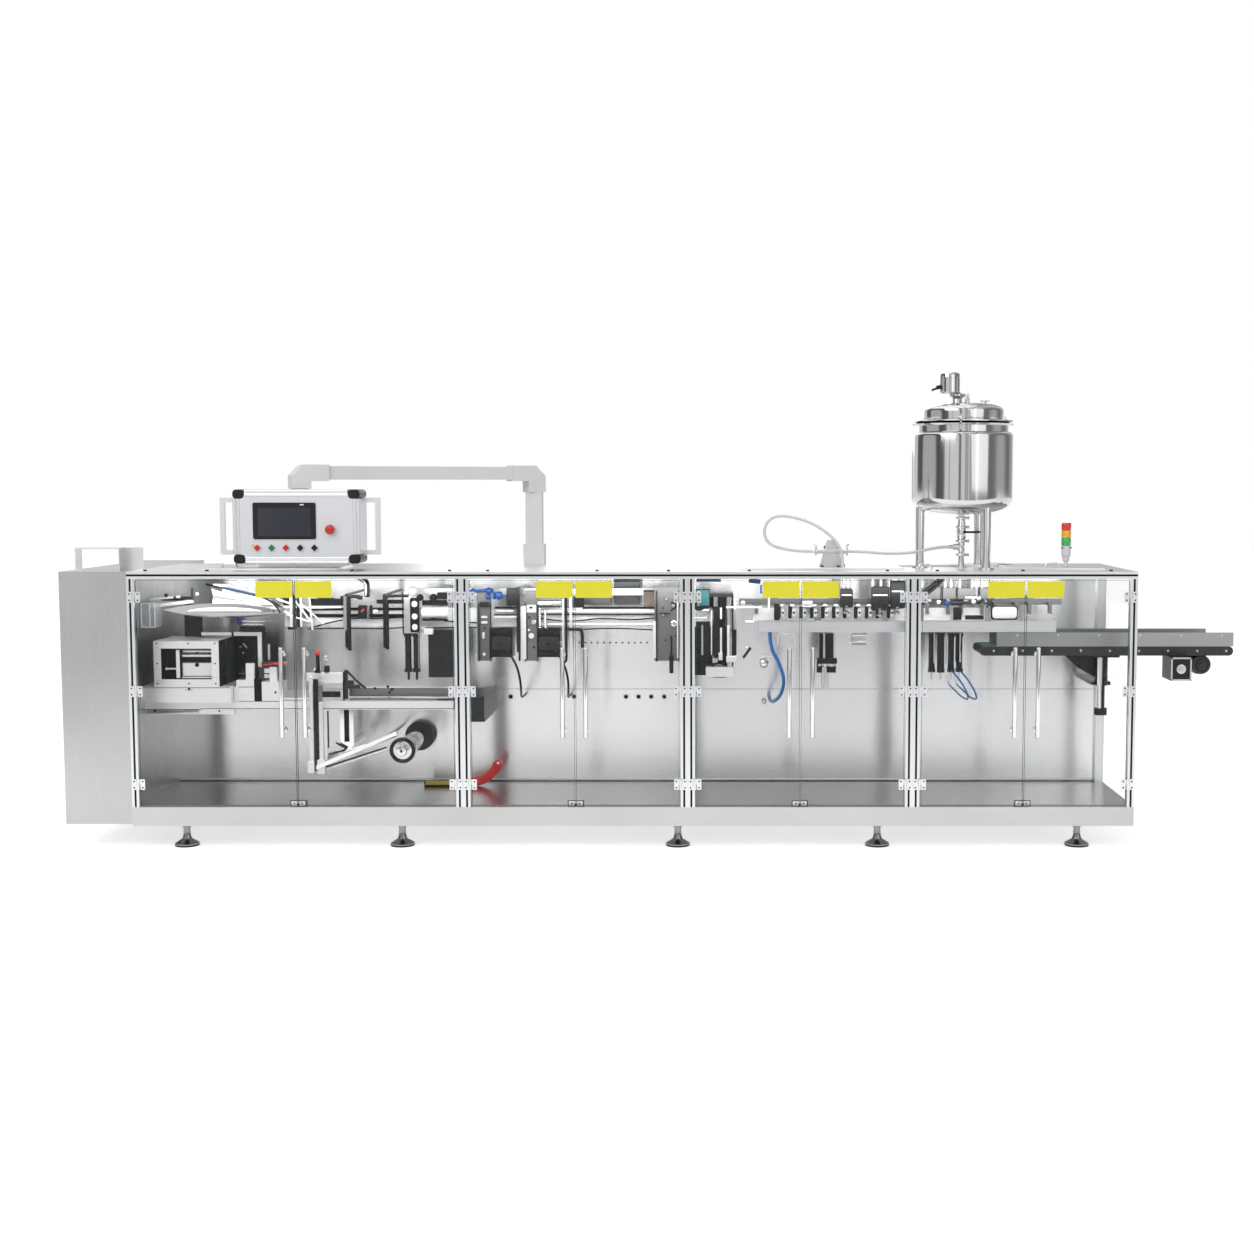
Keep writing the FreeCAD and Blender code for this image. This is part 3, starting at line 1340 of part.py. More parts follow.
hose("feed_hose", size("hose_radius"), [
    at(3017, 274, 1244), at(3085, 274, 1244), at(3185, 277, 1234), at(3300, 286, 1236), at(3380, 312, 1252),
    at(3444, 330, 1262), at(3500, 330, 1262)])
hose("loop_hose", size("hose_radius"), [
    at(2896, 274, 1244), at(2840, 274, 1244), at(2776, 276, 1250), at(2694, 278, 1268), at(2664, 280, 1315),
    at(2675, 280, 1370), at(2721, 280, 1401), at(2809, 278, 1390), at(2892, 272, 1358), at(2962, 254, 1306),
    at(3004, 238, 1246), at(3004, 238, 1192)])
hose("blue_hose", size("blue_hose_radius"), [
    at(2690, 180, 905), at(2690, 180, 840), at(2730, 196, 770), at(2756, 230, 690), at(2744, 300, 620),
    at(2722, 390, 580), at(2704, 490, 562), at(2698, 570, 574), at(2698, 630, 574)])
for number, offset in (("a", 0), ("b", 207)):
    hose("black_hose_" + number, size("thin_hose_radius"), [
        at(offset + 1520, 263, 850), at(offset + 1520, 213, 850), at(offset + 1562, 184, 826),
        at(offset + 1602, 196, 760), at(offset + 1614, 226, 690), at(offset + 1608, 300, 632),
        at(offset + 1596, 406, 596), at(offset + 1590, 520, 580), at(offset + 1590, 630, 580)])
for number, offset in (("a", 0), ("b", 36)):
    hose("blue_loop_" + number, size("loop_hose_radius"), [
        at(offset + 3481, 275, 727), at(offset + 3481, 229, 727), at(offset + 3500, 194, 704),
        at(offset + 3524, 188, 668), at(offset + 3544, 204, 632), at(offset + 3552, 244, 606),
        at(offset + 3550, 296, 598), at(offset + 3540, 364, 600), at(offset + 3530, 454, 610),
        at(offset + 3524, 545, 618), at(offset + 3524, 630, 618)])


# Every object has to be sound before anything is written.
doc.recompute()
faults = [item.Name for item in doc.Objects if "Invalid" in item.State or "Error" in item.State]
if faults:
    raise RuntimeError("failed objects: " + ", ".join(faults))
os.makedirs("parts", exist_ok=True)
for node, item in NODES.items():
    shape = item.Shape
    if shape.isNull() or not shape.isValid():
        raise RuntimeError("bad shape: " + node)
    shape.exportStep("parts/" + node + ".step")
whole = FreeCAD.BoundBox()
for item in NODES.values():
    whole.add(item.Shape.BoundBox)
print(len(NODES), "sub-parts, from", whole.XMin, whole.YMin, whole.ZMin, "to", whole.XMax, whole.YMax, whole.ZMax)
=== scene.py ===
# %% [markdown]
# A stand-up pouch packing machine, about five metres long. Its sheet metal, posts, tank, conveyor and pouch
# line come from the CAD model as a fixed frame. This script gives every one of those pieces its finish, and
# adds what a solid model leaves out: clear door leaves, the operator screen, lamps, screws, fittings, knobs
# and hoses.

# %% The frame
import json
import math
import bpy
import numpy as np
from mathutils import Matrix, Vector


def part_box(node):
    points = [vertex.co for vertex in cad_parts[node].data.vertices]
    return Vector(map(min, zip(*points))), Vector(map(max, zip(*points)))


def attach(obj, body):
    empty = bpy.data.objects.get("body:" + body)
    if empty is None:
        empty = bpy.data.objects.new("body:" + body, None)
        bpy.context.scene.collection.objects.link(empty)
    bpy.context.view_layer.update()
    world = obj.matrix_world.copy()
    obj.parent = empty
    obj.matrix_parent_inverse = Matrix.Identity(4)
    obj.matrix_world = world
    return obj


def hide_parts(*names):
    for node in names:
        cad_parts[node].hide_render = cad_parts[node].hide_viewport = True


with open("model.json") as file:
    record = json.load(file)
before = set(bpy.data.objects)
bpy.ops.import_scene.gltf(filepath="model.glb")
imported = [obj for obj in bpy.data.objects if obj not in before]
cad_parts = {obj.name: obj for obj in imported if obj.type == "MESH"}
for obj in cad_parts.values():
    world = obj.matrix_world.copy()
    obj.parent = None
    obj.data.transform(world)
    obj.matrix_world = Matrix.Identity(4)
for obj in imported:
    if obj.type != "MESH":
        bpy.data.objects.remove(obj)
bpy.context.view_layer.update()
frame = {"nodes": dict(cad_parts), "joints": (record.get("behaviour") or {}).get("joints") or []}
nodes = frame["nodes"]
print(len(nodes), "nodes in the frame")

# %% [markdown]
# Every place below is worked out from the frame. A machine is drawn from its left end, its front and the
# floor, so three numbers turn such a drawing into metres here. The front is the outer face of the door
# glass.

# %% Where things are
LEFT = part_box("top_rail")[0].x
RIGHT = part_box("top_rail")[1].x
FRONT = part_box("top_rail")[0].y
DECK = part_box("top_deck")[0].z + 0.006
MM = 0.001


def at(along, depth, level):
    """A point from the left end, the front and the floor, all in millimetres, given back in metres."""
    return np.array([LEFT + along * MM, FRONT + depth * MM, level * MM])


print("left", round(LEFT, 4), "front", round(FRONT, 4), "deck", round(DECK, 4))

# %% [markdown]
# The photograph looks at the doors squarely, from a little right of the middle and from standing eye
# height, and the camera is tipped down by under five degrees. A small sideways shift does the rest of the
# framing.

# %% Camera
CAMERA_DISTANCE = 7.219
CAMERA_HEIGHT = 1.541
CAMERA_RIGHT = LEFT + 2.4892
CAMERA_TILT = 4.766
FOCAL_PIXELS = 1734
FRAME_PIXELS = 1254
AXIS_PIXEL = 723

camera_data = bpy.data.cameras.new("camera")
camera_data.sensor_width = 36
camera_data.lens = FOCAL_PIXELS / FRAME_PIXELS * camera_data.sensor_width
camera_data.shift_x = (FRAME_PIXELS / 2 - AXIS_PIXEL) / FRAME_PIXELS
camera = bpy.data.objects.new("camera", camera_data)
camera.location = (CAMERA_RIGHT, FRONT - CAMERA_DISTANCE, CAMERA_HEIGHT)
camera.rotation_euler = (math.radians(90 - CAMERA_TILT), 0, 0)
bpy.context.scene.collection.objects.link(camera)
bpy.context.scene.camera = camera
bpy.context.scene.view_settings.view_transform = "Standard"
print("lens", round(camera_data.lens, 2), "mm")

# %% [markdown]
# A finish is a small tree of nodes on the shader. Brushed steel is grey metal whose roughness and tiny
# bumps come from noise stretched a hundredfold along the grain. A soft, much larger noise makes the sheet
# look rolled and handled, as no real sheet is one even grey.

# %% Finishes: helpers
MATERIALS = {}


def new_material(name, colour, roughness, metallic=0.0, **sockets):
    """A shader whose constant values sit on its own sockets."""
    made = bpy.data.materials.new(name)
    made.use_nodes = True
    shader = made.node_tree.nodes["Principled BSDF"]
    shader.inputs["Base Color"].default_value = (*colour, 1)
    shader.inputs["Roughness"].default_value = roughness
    shader.inputs["Metallic"].default_value = metallic
    for socket, value in sockets.items():
        shader.inputs[socket.replace("_", " ")].default_value = value
    MATERIALS[name] = made
    return made


def noise(made, scale, detail=4, stretch=(1, 1, 1), turn=(0, 0, 0)):
    """Noise on Object coordinates, squeezed along each axis by the stretch."""
    tree = made.node_tree
    place = tree.nodes.new("ShaderNodeTexCoord")
    mapping = tree.nodes.new("ShaderNodeMapping")
    mapping.inputs["Scale"].default_value = stretch
    mapping.inputs["Rotation"].default_value = turn
    texture = tree.nodes.new("ShaderNodeTexNoise")
    texture.inputs["Scale"].default_value = scale
    texture.inputs["Detail"].default_value = detail
    tree.links.new(place.outputs["Object"], mapping.inputs["Vector"])
    tree.links.new(mapping.outputs["Vector"], texture.inputs["Vector"])
    return texture.outputs["Fac"]


def vary(made, socket, factor, low, high):
    """The factor, carried to a range of numbers or of greys and colours, drives one socket."""
    tree = made.node_tree
    shader = tree.nodes["Principled BSDF"]
    if isinstance(low, tuple):
        mix = tree.nodes.new("ShaderNodeMix")
        mix.data_type = "RGBA"
        mix.inputs[6].default_value = (*low, 1)
        mix.inputs[7].default_value = (*high, 1)
        tree.links.new(factor, mix.inputs[0])
        tree.links.new(mix.outputs[2], shader.inputs[socket])
        return
    spread = tree.nodes.new("ShaderNodeMapRange")
    spread.inputs["To Min"].default_value = low
    spread.inputs["To Max"].default_value = high
    spread.inputs["From Min"].default_value = 0.25
    spread.inputs["From Max"].default_value = 0.75
    tree.links.new(factor, spread.inputs["Value"])
    tree.links.new(spread.outputs["Result"], shader.inputs[socket])


def rough_up(made, height, strength, distance):
    """Small bumps from a height, as brushing, casting or moulding leaves them."""
    tree = made.node_tree
    bump = tree.nodes.new("ShaderNodeBump")
    bump.inputs["Strength"].default_value = strength
    bump.inputs["Distance"].default_value = distance
    tree.links.new(height, bump.inputs["Height"])
    tree.links.new(bump.outputs["Normal"], tree.nodes["Principled BSDF"].inputs["Normal"])


def brushed(name, dark, light, rough, grain, strength=0.25, metallic=1.0, **sockets):
    """Steel with its grain along one axis: noise that changes slowly along it and fast across it."""
    made = new_material(name, light, rough[0], metallic, **sockets)
    stretch = {"x": (1, 90, 90), "y": (90, 1, 90), "z": (90, 90, 1)}[grain]
    lines = noise(made, 6, 3, stretch)
    vary(made, "Roughness", lines, rough[0], rough[1])
    vary(made, "Base Color", noise(made, 1.7, 5), dark, light)
    rough_up(made, lines, strength, 0.00015)
    return made


def plain(name, colour, other, roughness, grain_size, strength, distance, metallic=0.0, **sockets):
    """Paint, plastic or rubber: a colour that drifts a little, and a fine texture."""
    made = new_material(name, colour, roughness, metallic, **sockets)
    vary(made, "Base Color", noise(made, grain_size / 12, 4), other, colour)
    fine = noise(made, grain_size, 3)
    vary(made, "Roughness", fine, roughness * 0.85, min(1.0, roughness * 1.15))
    rough_up(made, fine, strength, distance)
    return made

# %% [markdown]
# Each metal is a pair of greys, a range of roughness and a direction for its grain. A grain could be
# painted as an image, but noise needs no unwrapping and fits every piece. The back wall is brushed upright
# so strongly that it smears what it mirrors into tall streaks: an upright tangent gives it those.

# %% Finishes: metals
brushed("sheet_steel", (0.40, 0.40, 0.40), (0.56, 0.56, 0.555), (0.24, 0.36), "z")
brushed("sill_steel", (0.42, 0.42, 0.42), (0.56, 0.56, 0.555), (0.16, 0.26), "x", 0.12)
wall = brushed("wall_steel", (0.80, 0.80, 0.81), (0.93, 0.93, 0.935), (0.17, 0.24), "z", 0.04, 0.9,
    Anisotropic=0.95)
upright = wall.node_tree.nodes.new("ShaderNodeCombineXYZ")
upright.inputs["Z"].default_value = 1
wall.node_tree.links.new(upright.outputs[0], wall.node_tree.nodes["Principled BSDF"].inputs["Tangent"])
brushed("pan_steel", (0.42, 0.42, 0.42), (0.60, 0.60, 0.60), (0.16, 0.28), "x")
brushed("deck_steel", (0.70, 0.70, 0.70), (0.84, 0.84, 0.835), (0.25, 0.38), "x")
brushed("tank_steel", (0.50, 0.50, 0.50), (0.68, 0.68, 0.675), (0.07, 0.13), "z", 0.12)
brushed("conveyor_steel", (0.30, 0.31, 0.30), (0.44, 0.45, 0.44), (0.28, 0.42), "x")
brushed("anodised", (0.66, 0.67, 0.68), (0.80, 0.81, 0.82), (0.26, 0.36), "z", 0.1)
brushed("anodised_along", (0.70, 0.71, 0.72), (0.84, 0.85, 0.86), (0.26, 0.36), "x", 0.1)
brushed("bright_steel", (0.62, 0.62, 0.63), (0.82, 0.82, 0.82), (0.08, 0.16), "z", 0.05)
brushed("chrome", (0.70, 0.70, 0.71), (0.86, 0.86, 0.87), (0.05, 0.10), "x", 0.02)
brushed("foot_steel", (0.16, 0.16, 0.165), (0.32, 0.32, 0.325), (0.08, 0.16), "z", 0.05)
brushed("milled", (0.48, 0.49, 0.50), (0.66, 0.67, 0.68), (0.26, 0.40), "y", 0.3)
plain("dark_steel", (0.055, 0.056, 0.06), (0.03, 0.03, 0.033), 0.38, 900, 0.15, 0.0002, 0.6)
brushed("dull_plate", (0.15, 0.15, 0.155), (0.24, 0.24, 0.245), (0.30, 0.44), "z", 0.2, 0.7)
brushed("pale_plate", (0.78, 0.78, 0.785), (0.92, 0.92, 0.92), (0.26, 0.38), "x", 0.15, 0.5)
print(len(MATERIALS), "metal finishes")

# %% [markdown]
# Paints, plastics and rubbers are one colour that drifts a little over a fine texture. Glass could bend
# light as a solid does, but a thin clear sheet hardly bends any, so an almost transparent one looks the
# same. The pouch film is white, with painted shade and highlight that darken and lighten it along its
# creases.

# %% Finishes: paint, plastic, rubber and film
plain("white_paint", (0.70, 0.70, 0.71), (0.64, 0.64, 0.65), 0.36, 900, 0.2, 0.0001)
plain("pale_panel", (0.69, 0.70, 0.72), (0.65, 0.66, 0.68), 0.42, 1400, 0.15, 0.0001)
plain("black_plastic", (0.014, 0.014, 0.015), (0.008, 0.008, 0.009), 0.34, 900, 0.2, 0.0001,
    Specular_IOR_Level=0.3)
plain("knob_red", (0.75, 0.02, 0.015), (0.62, 0.014, 0.01), 0.28, 500, 0.05, 0.0001)
plain("fitting_blue", (0.008, 0.075, 0.30), (0.005, 0.05, 0.22), 0.30, 500, 0.05, 0.0001,
    Specular_IOR_Level=0.35)
plain("black_anodised", (0.006, 0.006, 0.007), (0.014, 0.014, 0.016), 0.26, 1100, 0.15, 0.0001,
    Specular_IOR_Level=0.35)
plain("safety_yellow", (0.62, 0.42, 0.05), (0.52, 0.34, 0.04), 0.40, 500, 0.05, 0.0001)
plain("cardboard_brown", (0.22, 0.17, 0.13), (0.15, 0.11, 0.08), 0.6, 300, 0.1, 0.0002)
plain("belt_green", (0.035, 0.16, 0.075), (0.02, 0.11, 0.05), 0.55, 500, 0.5, 0.0003)
plain("pale_hose", (0.70, 0.71, 0.71), (0.60, 0.61, 0.62), 0.28, 300, 0.1, 0.0002)
plain("blue_hose", (0.02, 0.20, 0.56), (0.012, 0.14, 0.42), 0.30, 300, 0.1, 0.0002)
plain("black_hose", (0.010, 0.010, 0.011), (0.006, 0.006, 0.007), 0.36, 300, 0.1, 0.0002,
    Specular_IOR_Level=0.3)
plain("lever_red", (0.62, 0.025, 0.02), (0.50, 0.016, 0.014), 0.32, 600, 0.15, 0.0001)
plain("lamp_red", (0.80, 0.04, 0.02), (0.62, 0.02, 0.01), 0.20, 400, 0.05, 0.0001, Coat_Weight=0.4)
plain("lamp_amber", (0.90, 0.50, 0.03), (0.80, 0.40, 0.02), 0.20, 400, 0.05, 0.0001, Coat_Weight=0.4)
plain("lamp_green", (0.06, 0.50, 0.12), (0.04, 0.38, 0.09), 0.20, 400, 0.05, 0.0001, Coat_Weight=0.4)
plain("plate_yellow", (0.80, 0.74, 0.03), (0.74, 0.67, 0.02), 0.40, 300, 0.05, 0.0001)
plain("screen_glass", (0.035, 0.038, 0.05), (0.03, 0.032, 0.042), 0.12, 200, 0.02, 0.0001, Coat_Weight=0.6)

glass = new_material("door_glass", (0.10, 0.115, 0.11), 0.02, Alpha=0.05)
vary(glass, "Roughness", noise(glass, 3, 3), 0.0, 0.03)
edge = new_material("glass_edge", (0.03, 0.07, 0.06), 0.2)
vary(edge, "Base Color", noise(edge, 40, 2), (0.02, 0.05, 0.045), (0.04, 0.09, 0.08))
clear_plastic = new_material("clear_plastic", (0.55, 0.60, 0.62), 0.08, Alpha=0.30)
vary(clear_plastic, "Roughness", noise(clear_plastic, 30, 3), 0.05, 0.16)
film = new_material("film", (0.90, 0.92, 0.93), 0.16, IOR=1.45, Transmission_Weight=0.35, Coat_Weight=0.5)
rough_up(film, noise(film, 30, 3, (1, 1, 3)), 0.4, 0.002)
vary(film, "Roughness", noise(film, 12, 3), 0.10, 0.24)
white_film = new_material("film_white", (0.80, 0.81, 0.82), 0.22, Coat_Weight=0.6)
# Painted shade and highlight: the film's white goes darker and lighter in streaks along its creases.
painted_crease_shading = noise(white_film, 45, 4, (1, 1, 2.5))
vary(white_film, "Base Color", painted_crease_shading, (0.60, 0.61, 0.62), (0.97, 0.97, 0.98))
rough_up(white_film, noise(white_film, 70, 3, (1, 1, 2)), 0.8, 0.003)
plain("cutter_teal", (0.02, 0.14, 0.15), (0.01, 0.09, 0.10), 0.34, 500, 0.05, 0.0001)
plain("slot_black", (0.008, 0.008, 0.009), (0.005, 0.005, 0.006), 0.5, 600, 0.2, 0.0001,
    Specular_IOR_Level=0.15)
plain("button_green", (0.01, 0.22, 0.06), (0.008, 0.16, 0.045), 0.25, 400, 0.05, 0.0001)
plain("button_red", (0.58, 0.02, 0.015), (0.46, 0.014, 0.01), 0.28, 400, 0.05, 0.0001)
print(len(MATERIALS), "finishes in all")

# %% [markdown]
# The nodes whose CAD shape is already right keep it, and only take a finish.

# %% Finishes on the CAD pieces
FINISH = {"sheet_steel": ["left_cabinet", "rear_housing"],
    "sill_steel": ["front_sill", "rear_sill", "cross_members"],
    "wall_steel": ["back_wall"], "pan_steel": ["floor_pan"], "deck_steel": ["top_deck", "guard_box"],
    "tank_steel": ["tank_shell", "tank_bottom", "tank_lid"],
    "anodised": ["frame_posts", "filler_heads", "pump_bracket"],
    "anodised_along": ["top_rail", "hinge_plates", "hmi_handles", "product_tray"],
    "bright_steel": ["tank_legs", "outlet_valve", "agitator_drive", "film_former", "film_shaft",
        "lift_cylinders"],
    "foot_steel": ["levelling_feet"],
    "milled": ["infeed_table", "film_box", "gripper_row", "sealing_stations", "punch_station",
        "cutting_station", "guide_rollers"],
    "white_paint": ["hmi_post", "hmi_arm"], "pale_panel": ["hmi_box"],
    "black_plastic": ["hmi_controls", "conveyor_drive"],
    "conveyor_steel": ["conveyor_frame", "conveyor_column"],
    "belt_green": ["conveyor_belt"], "lever_red": ["hand_lever"], "lamp_green": ["signal_tower"],
    "film": ["film_web"], "door_glass": ["end_window"]}


def finish(node, name):
    """Gives a CAD node one finish, whatever slots it came with."""
    mesh = nodes[node].data
    mesh.materials.clear()
    mesh.materials.append(MATERIALS[name])
    mesh.polygons.foreach_set("material_index", np.zeros(len(mesh.polygons), np.int32))


for name, members in FINISH.items():
    for node in members:
        finish(node, name)
for node in nodes:
    if node.startswith("door_"):
        finish(node, "door_glass")
print(sum(len(members) for members in FINISH.values()), "nodes finished")

# %% [markdown]
# Hoses are smooth curves through the air, held at both ends. A curve of order three through a few
# listed points droops and bends as rubber does, and its bevel gives it its thickness.

# %% Hoses
HOSES = [
    ("feed_hose", "pale_hose", "hose_clear", 13.0, 492, [
        (3017, 274, 1244), (3085, 274, 1244), (3185, 277, 1234), (3300, 286, 1236), (3380, 312, 1252),
        (3444, 330, 1262), (3500, 330, 1262)]),
    ("loop_hose", "pale_hose", "hose_clear", 13.0, 754, [
        (2896, 274, 1244), (2840, 274, 1244), (2776, 276, 1250), (2694, 278, 1268), (2664, 280, 1315),
        (2675, 280, 1370), (2721, 280, 1401), (2809, 278, 1390), (2892, 272, 1358), (2962, 254, 1306),
        (3004, 238, 1246), (3004, 238, 1192)]),
    ("blue_hose", "blue_hose", "hose_blue", 16.0, 676, [
        (2690, 180, 905), (2690, 180, 840), (2730, 196, 770), (2756, 230, 690), (2744, 300, 620),
        (2722, 390, 580), (2704, 490, 562), (2698, 570, 574), (2698, 630, 574)]),
]
for name, offset in (("black_hose_a", 0), ("black_hose_b", 207)):
    HOSES.append((name, "black_hose", "hose_black", 10.0, 682, [(offset + 1520, 263, 850),
        (offset + 1520, 213, 850), (offset + 1562, 184, 826), (offset + 1602, 196, 760),
        (offset + 1614, 226, 690), (offset + 1608, 300, 632), (offset + 1596, 406, 596),
        (offset + 1590, 520, 580), (offset + 1590, 630, 580)]))
for name, offset in (("blue_loop_a", 0), ("blue_loop_b", 36)):
    HOSES.append((name, "blue_hose", "hose_blue", 8.0, 611, [(offset + 3481, 275, 727),
        (offset + 3481, 229, 727), (offset + 3500, 194, 704), (offset + 3524, 188, 668),
        (offset + 3544, 204, 632), (offset + 3552, 244, 606), (offset + 3550, 296, 598),
        (offset + 3540, 364, 600), (offset + 3530, 454, 610), (offset + 3524, 545, 618),
        (offset + 3524, 630, 618)]))


def hose(name, material, slot, diameter, length, route):
    """One open spline of order three with the route's points as its control points, from end to end."""
    curve = bpy.data.curves.new(name, "CURVE")
    curve.dimensions = "3D"
    curve.bevel_depth = diameter * MM / 2
    curve.bevel_resolution = 4
    curve.use_fill_caps = True
    spline = curve.splines.new("NURBS")
    spline.points.add(len(route) - 1)
    for point, place in zip(spline.points, route):
        point.co = (*at(*place), 1)
    spline.order_u = 3
    spline.use_endpoint_u = True
    spline.resolution_u = 10
    curve.materials.append(MATERIALS[material])
    piece = bpy.data.objects.new(name + "_tube", curve)
    bpy.context.scene.collection.objects.link(piece)
    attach(piece, "root")
    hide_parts(name)
    return piece


for facts in HOSES:
    hose(*facts)
print(len(HOSES), "hoses")

# %% [markdown]
# Nearly every hard piece of such a machine is one closed loop carried along a line: a circle for rods,
# bosses and turned parts, a rounded rectangle for bars, plates and housings. So one helper puts faces over
# a stack of loops, and each shape only has to say where its loops are.

# %% Shapes: loops and shells
def circle(radius, around=28):
    """Points at radius * (cos a, sin a) for evenly spaced angles a."""
    angles = np.linspace(0, 2 * np.pi, around, endpoint=False)
    return radius * np.stack([np.cos(angles), np.sin(angles)], -1)


def rounded(width, depth, radius, steps=2):
    """Quarter circles about the corners of a rectangle that is smaller by their radius on each side."""
    angles = (np.linspace(0, np.pi / 2, steps + 1)[None, :] + np.arange(4)[:, None] * np.pi / 2).ravel()
    signs = np.repeat(np.array([(1, 1), (-1, 1), (-1, -1), (1, -1)]), steps + 1, axis=0)
    middles = signs * (np.array([width, depth]) / 2 - radius)
    return middles + radius * np.stack([np.cos(angles), np.sin(angles)], -1)


def shell(sections):
    """Four-sided faces between each loop and the next, and one flat face over each end."""
    rows, around = sections.shape[:2]
    start = np.arange(rows - 1)[:, None] * around
    here = np.arange(around)[None, :]
    ahead = (here + 1) % around
    quads = np.stack([start + here, start + ahead, start + around + ahead, start + around + here], -1)
    faces = quads.reshape(-1, 4).tolist()
    faces.append(list(range(around))[::-1])
    faces.append(list(range((rows - 1) * around, rows * around)))
    return sections.reshape(-1, 3), faces


def slab(low, high, bevel=0.0008, corner=None, along=None, steps=2):
    """A block between two corners: a rounded rectangle carried along one axis, drawn in at both ends."""
    low, high = np.minimum(low, high), np.maximum(low, high)
    size = high - low
    along = int(np.argmin(size)) if along is None else along
    first, second = (along + 1) % 3, (along + 2) % 3
    bevel = min(bevel, size.min() * 0.3)
    corner = bevel * 1.5 if corner is None else corner
    sections = []
    for level, inset in ((0, bevel), (bevel, 0), (size[along] - bevel, 0), (size[along], bevel)):
        loop = rounded(size[first] - 2 * inset, size[second] - 2 * inset, max(corner - inset, bevel / 4),
            steps)
        ring = np.zeros((len(loop), 3))
        ring[:, first] = loop[:, 0] + (low + high)[first] / 2
        ring[:, second] = loop[:, 1] + (low + high)[second] / 2
        ring[:, along] = low[along] + level
        sections.append(ring)
    return shell(np.stack(sections))


def spun(start, toward, stations, around=28):
    """A turned piece: circles of radius r at distance t along a direction, for each (t, r)."""
    start, toward = np.array(start, float), np.array(toward, float)
    toward = toward / np.linalg.norm(toward)
    helper = np.array([0, 0, 1.0]) if abs(toward[2]) < 0.9 else np.array([1.0, 0, 0])
    side = np.cross(helper, toward)
    side /= np.linalg.norm(side)
    up = np.cross(toward, side)
    distances, radii = np.array(stations, float).T
    loop = circle(1, around)
    flat = loop[:, :1] * side + loop[:, 1:] * up
    return shell(start + distances[:, None, None] * toward + radii[:, None, None] * flat[None])


def rod(start, end, radius, bevel=0.0006, around=24):
    """A round bar with its two edges broken by a small bevel."""
    start, end = np.array(start, float), np.array(end, float)
    length = np.linalg.norm(end - start)
    return spun(start, end - start, [(0, radius - bevel), (bevel, radius), (length - bevel, radius),
        (length, radius - bevel)], around)


def swept(path, loop, up):
    """A loop carried along a path; its first axis is the cross product of up and the path's direction."""
    path = np.array(path, float)
    ahead = np.gradient(path, axis=0)
    ahead /= np.linalg.norm(ahead, axis=1, keepdims=True)
    side = np.cross(np.array(up, float)[None], ahead)
    side /= np.linalg.norm(side, axis=1, keepdims=True)
    over = np.cross(ahead, side)
    return shell(path[:, None] + loop[None, :, :1] * side[:, None] + loop[None, :, 1:] * over[:, None])


print(len(slab(np.zeros(3), np.ones(3))[1]), "faces in a plain block")

# %% [markdown]
# A screw head is a short turned piece with a socket sunk into it. Hundreds are needed, so each has few
# faces.

# %% Shapes: screws and nuts
def screw(place, toward, radius=0.004, height=0.003):
    """A socket head: out from the face, over a broken edge, and down into the socket."""
    return spun(place, toward, [(0, radius), (height * 0.8, radius), (height, radius * 0.85),
        (height, radius * 0.5), (height * 0.4, radius * 0.42)], 10)


def nut(place, toward, radius=0.008, height=0.006):
    """A six-sided prism with its corners chamfered."""
    return spun(place, toward, [(0, radius), (height * 0.75, radius), (height, radius * 0.85)], 6)


# %% [markdown]
# Each new piece is one mesh of one finish. It rides on the CAD body that carries it.


def add(name, material, shells, body="root", stands_for=(), angle=40):
    """One mesh from several shells, smooth except where two faces meet more sharply than the angle."""
    counts = np.cumsum([0] + [len(points) for points, faces in shells])
    points = np.concatenate([points for points, faces in shells])
    faces = [[corner + int(first) for corner in face]
        for first, (_, some) in zip(counts, shells) for face in some]
    mesh = bpy.data.meshes.new(name)
    mesh.from_pydata(points.tolist(), [], faces)
    mesh.materials.append(MATERIALS[material])
    mesh.shade_smooth()
    mesh.set_sharp_from_angle(angle=math.radians(angle))
    piece = bpy.data.objects.new(name, mesh)
    bpy.context.scene.collection.objects.link(piece)
    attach(piece, body)
    if stands_for:
        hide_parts(*stands_for)
    return piece


OUT = np.array([0, -1.0, 0])
UP = np.array([0, 0, 1.0])
ACROSS = np.array([1.0, 0, 0])

# %% [markdown]
# The posts and the rail are slotted aluminium profile. A black strip closes each slot on the front.

# %% Slot strips
STRIP = 8.8
BAY_ONE, BAY = 1396, 945
post_lines = [15, BAY_ONE - 15, BAY_ONE + 15, BAY_ONE + BAY - 15, BAY_ONE + BAY + 15,
    BAY_ONE + 2 * BAY - 15, BAY_ONE + 2 * BAY + 15, (RIGHT - LEFT) / MM - 15]
rail_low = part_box("top_rail")[0].z / MM
sill_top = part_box("floor_pan")[0].z / MM
strips = [slab(at(line - STRIP / 2, -0.2, sill_top + 1), at(line + STRIP / 2, 6, rail_low - 0.5), 0.0003)
          for line in post_lines]
strips.append(slab(at(1, -0.2, rail_low + 15 - STRIP / 2),
    at((RIGHT - LEFT) / MM - 1, 6, rail_low + 15 + STRIP / 2), 0.0003))
add("slot_strips", "slot_black", strips)
print(len(strips), "strips")

# %% [markdown]
# The leaves are frameless toughened glass. Each hangs on three lift-off hinges, whose lower halves stay on
# the post, and has a bar handle of steel tube beside the meeting line and a bare yellow plate above it.

# %% Doors
GLASS = 8
KNUCKLE = 6
HINGE_HALF = 22.5
PLATE_HIGH, PLATE_WIDE = 70, 153
HINGE_LEVELS = (1064, 668, 274)
HANDLE_IN, HANDLE_OUT = 45.5, 45
HANDLE_LOW, HANDLE_LONG = 477, 380
HANDLE_BOLTS = (507, 827)


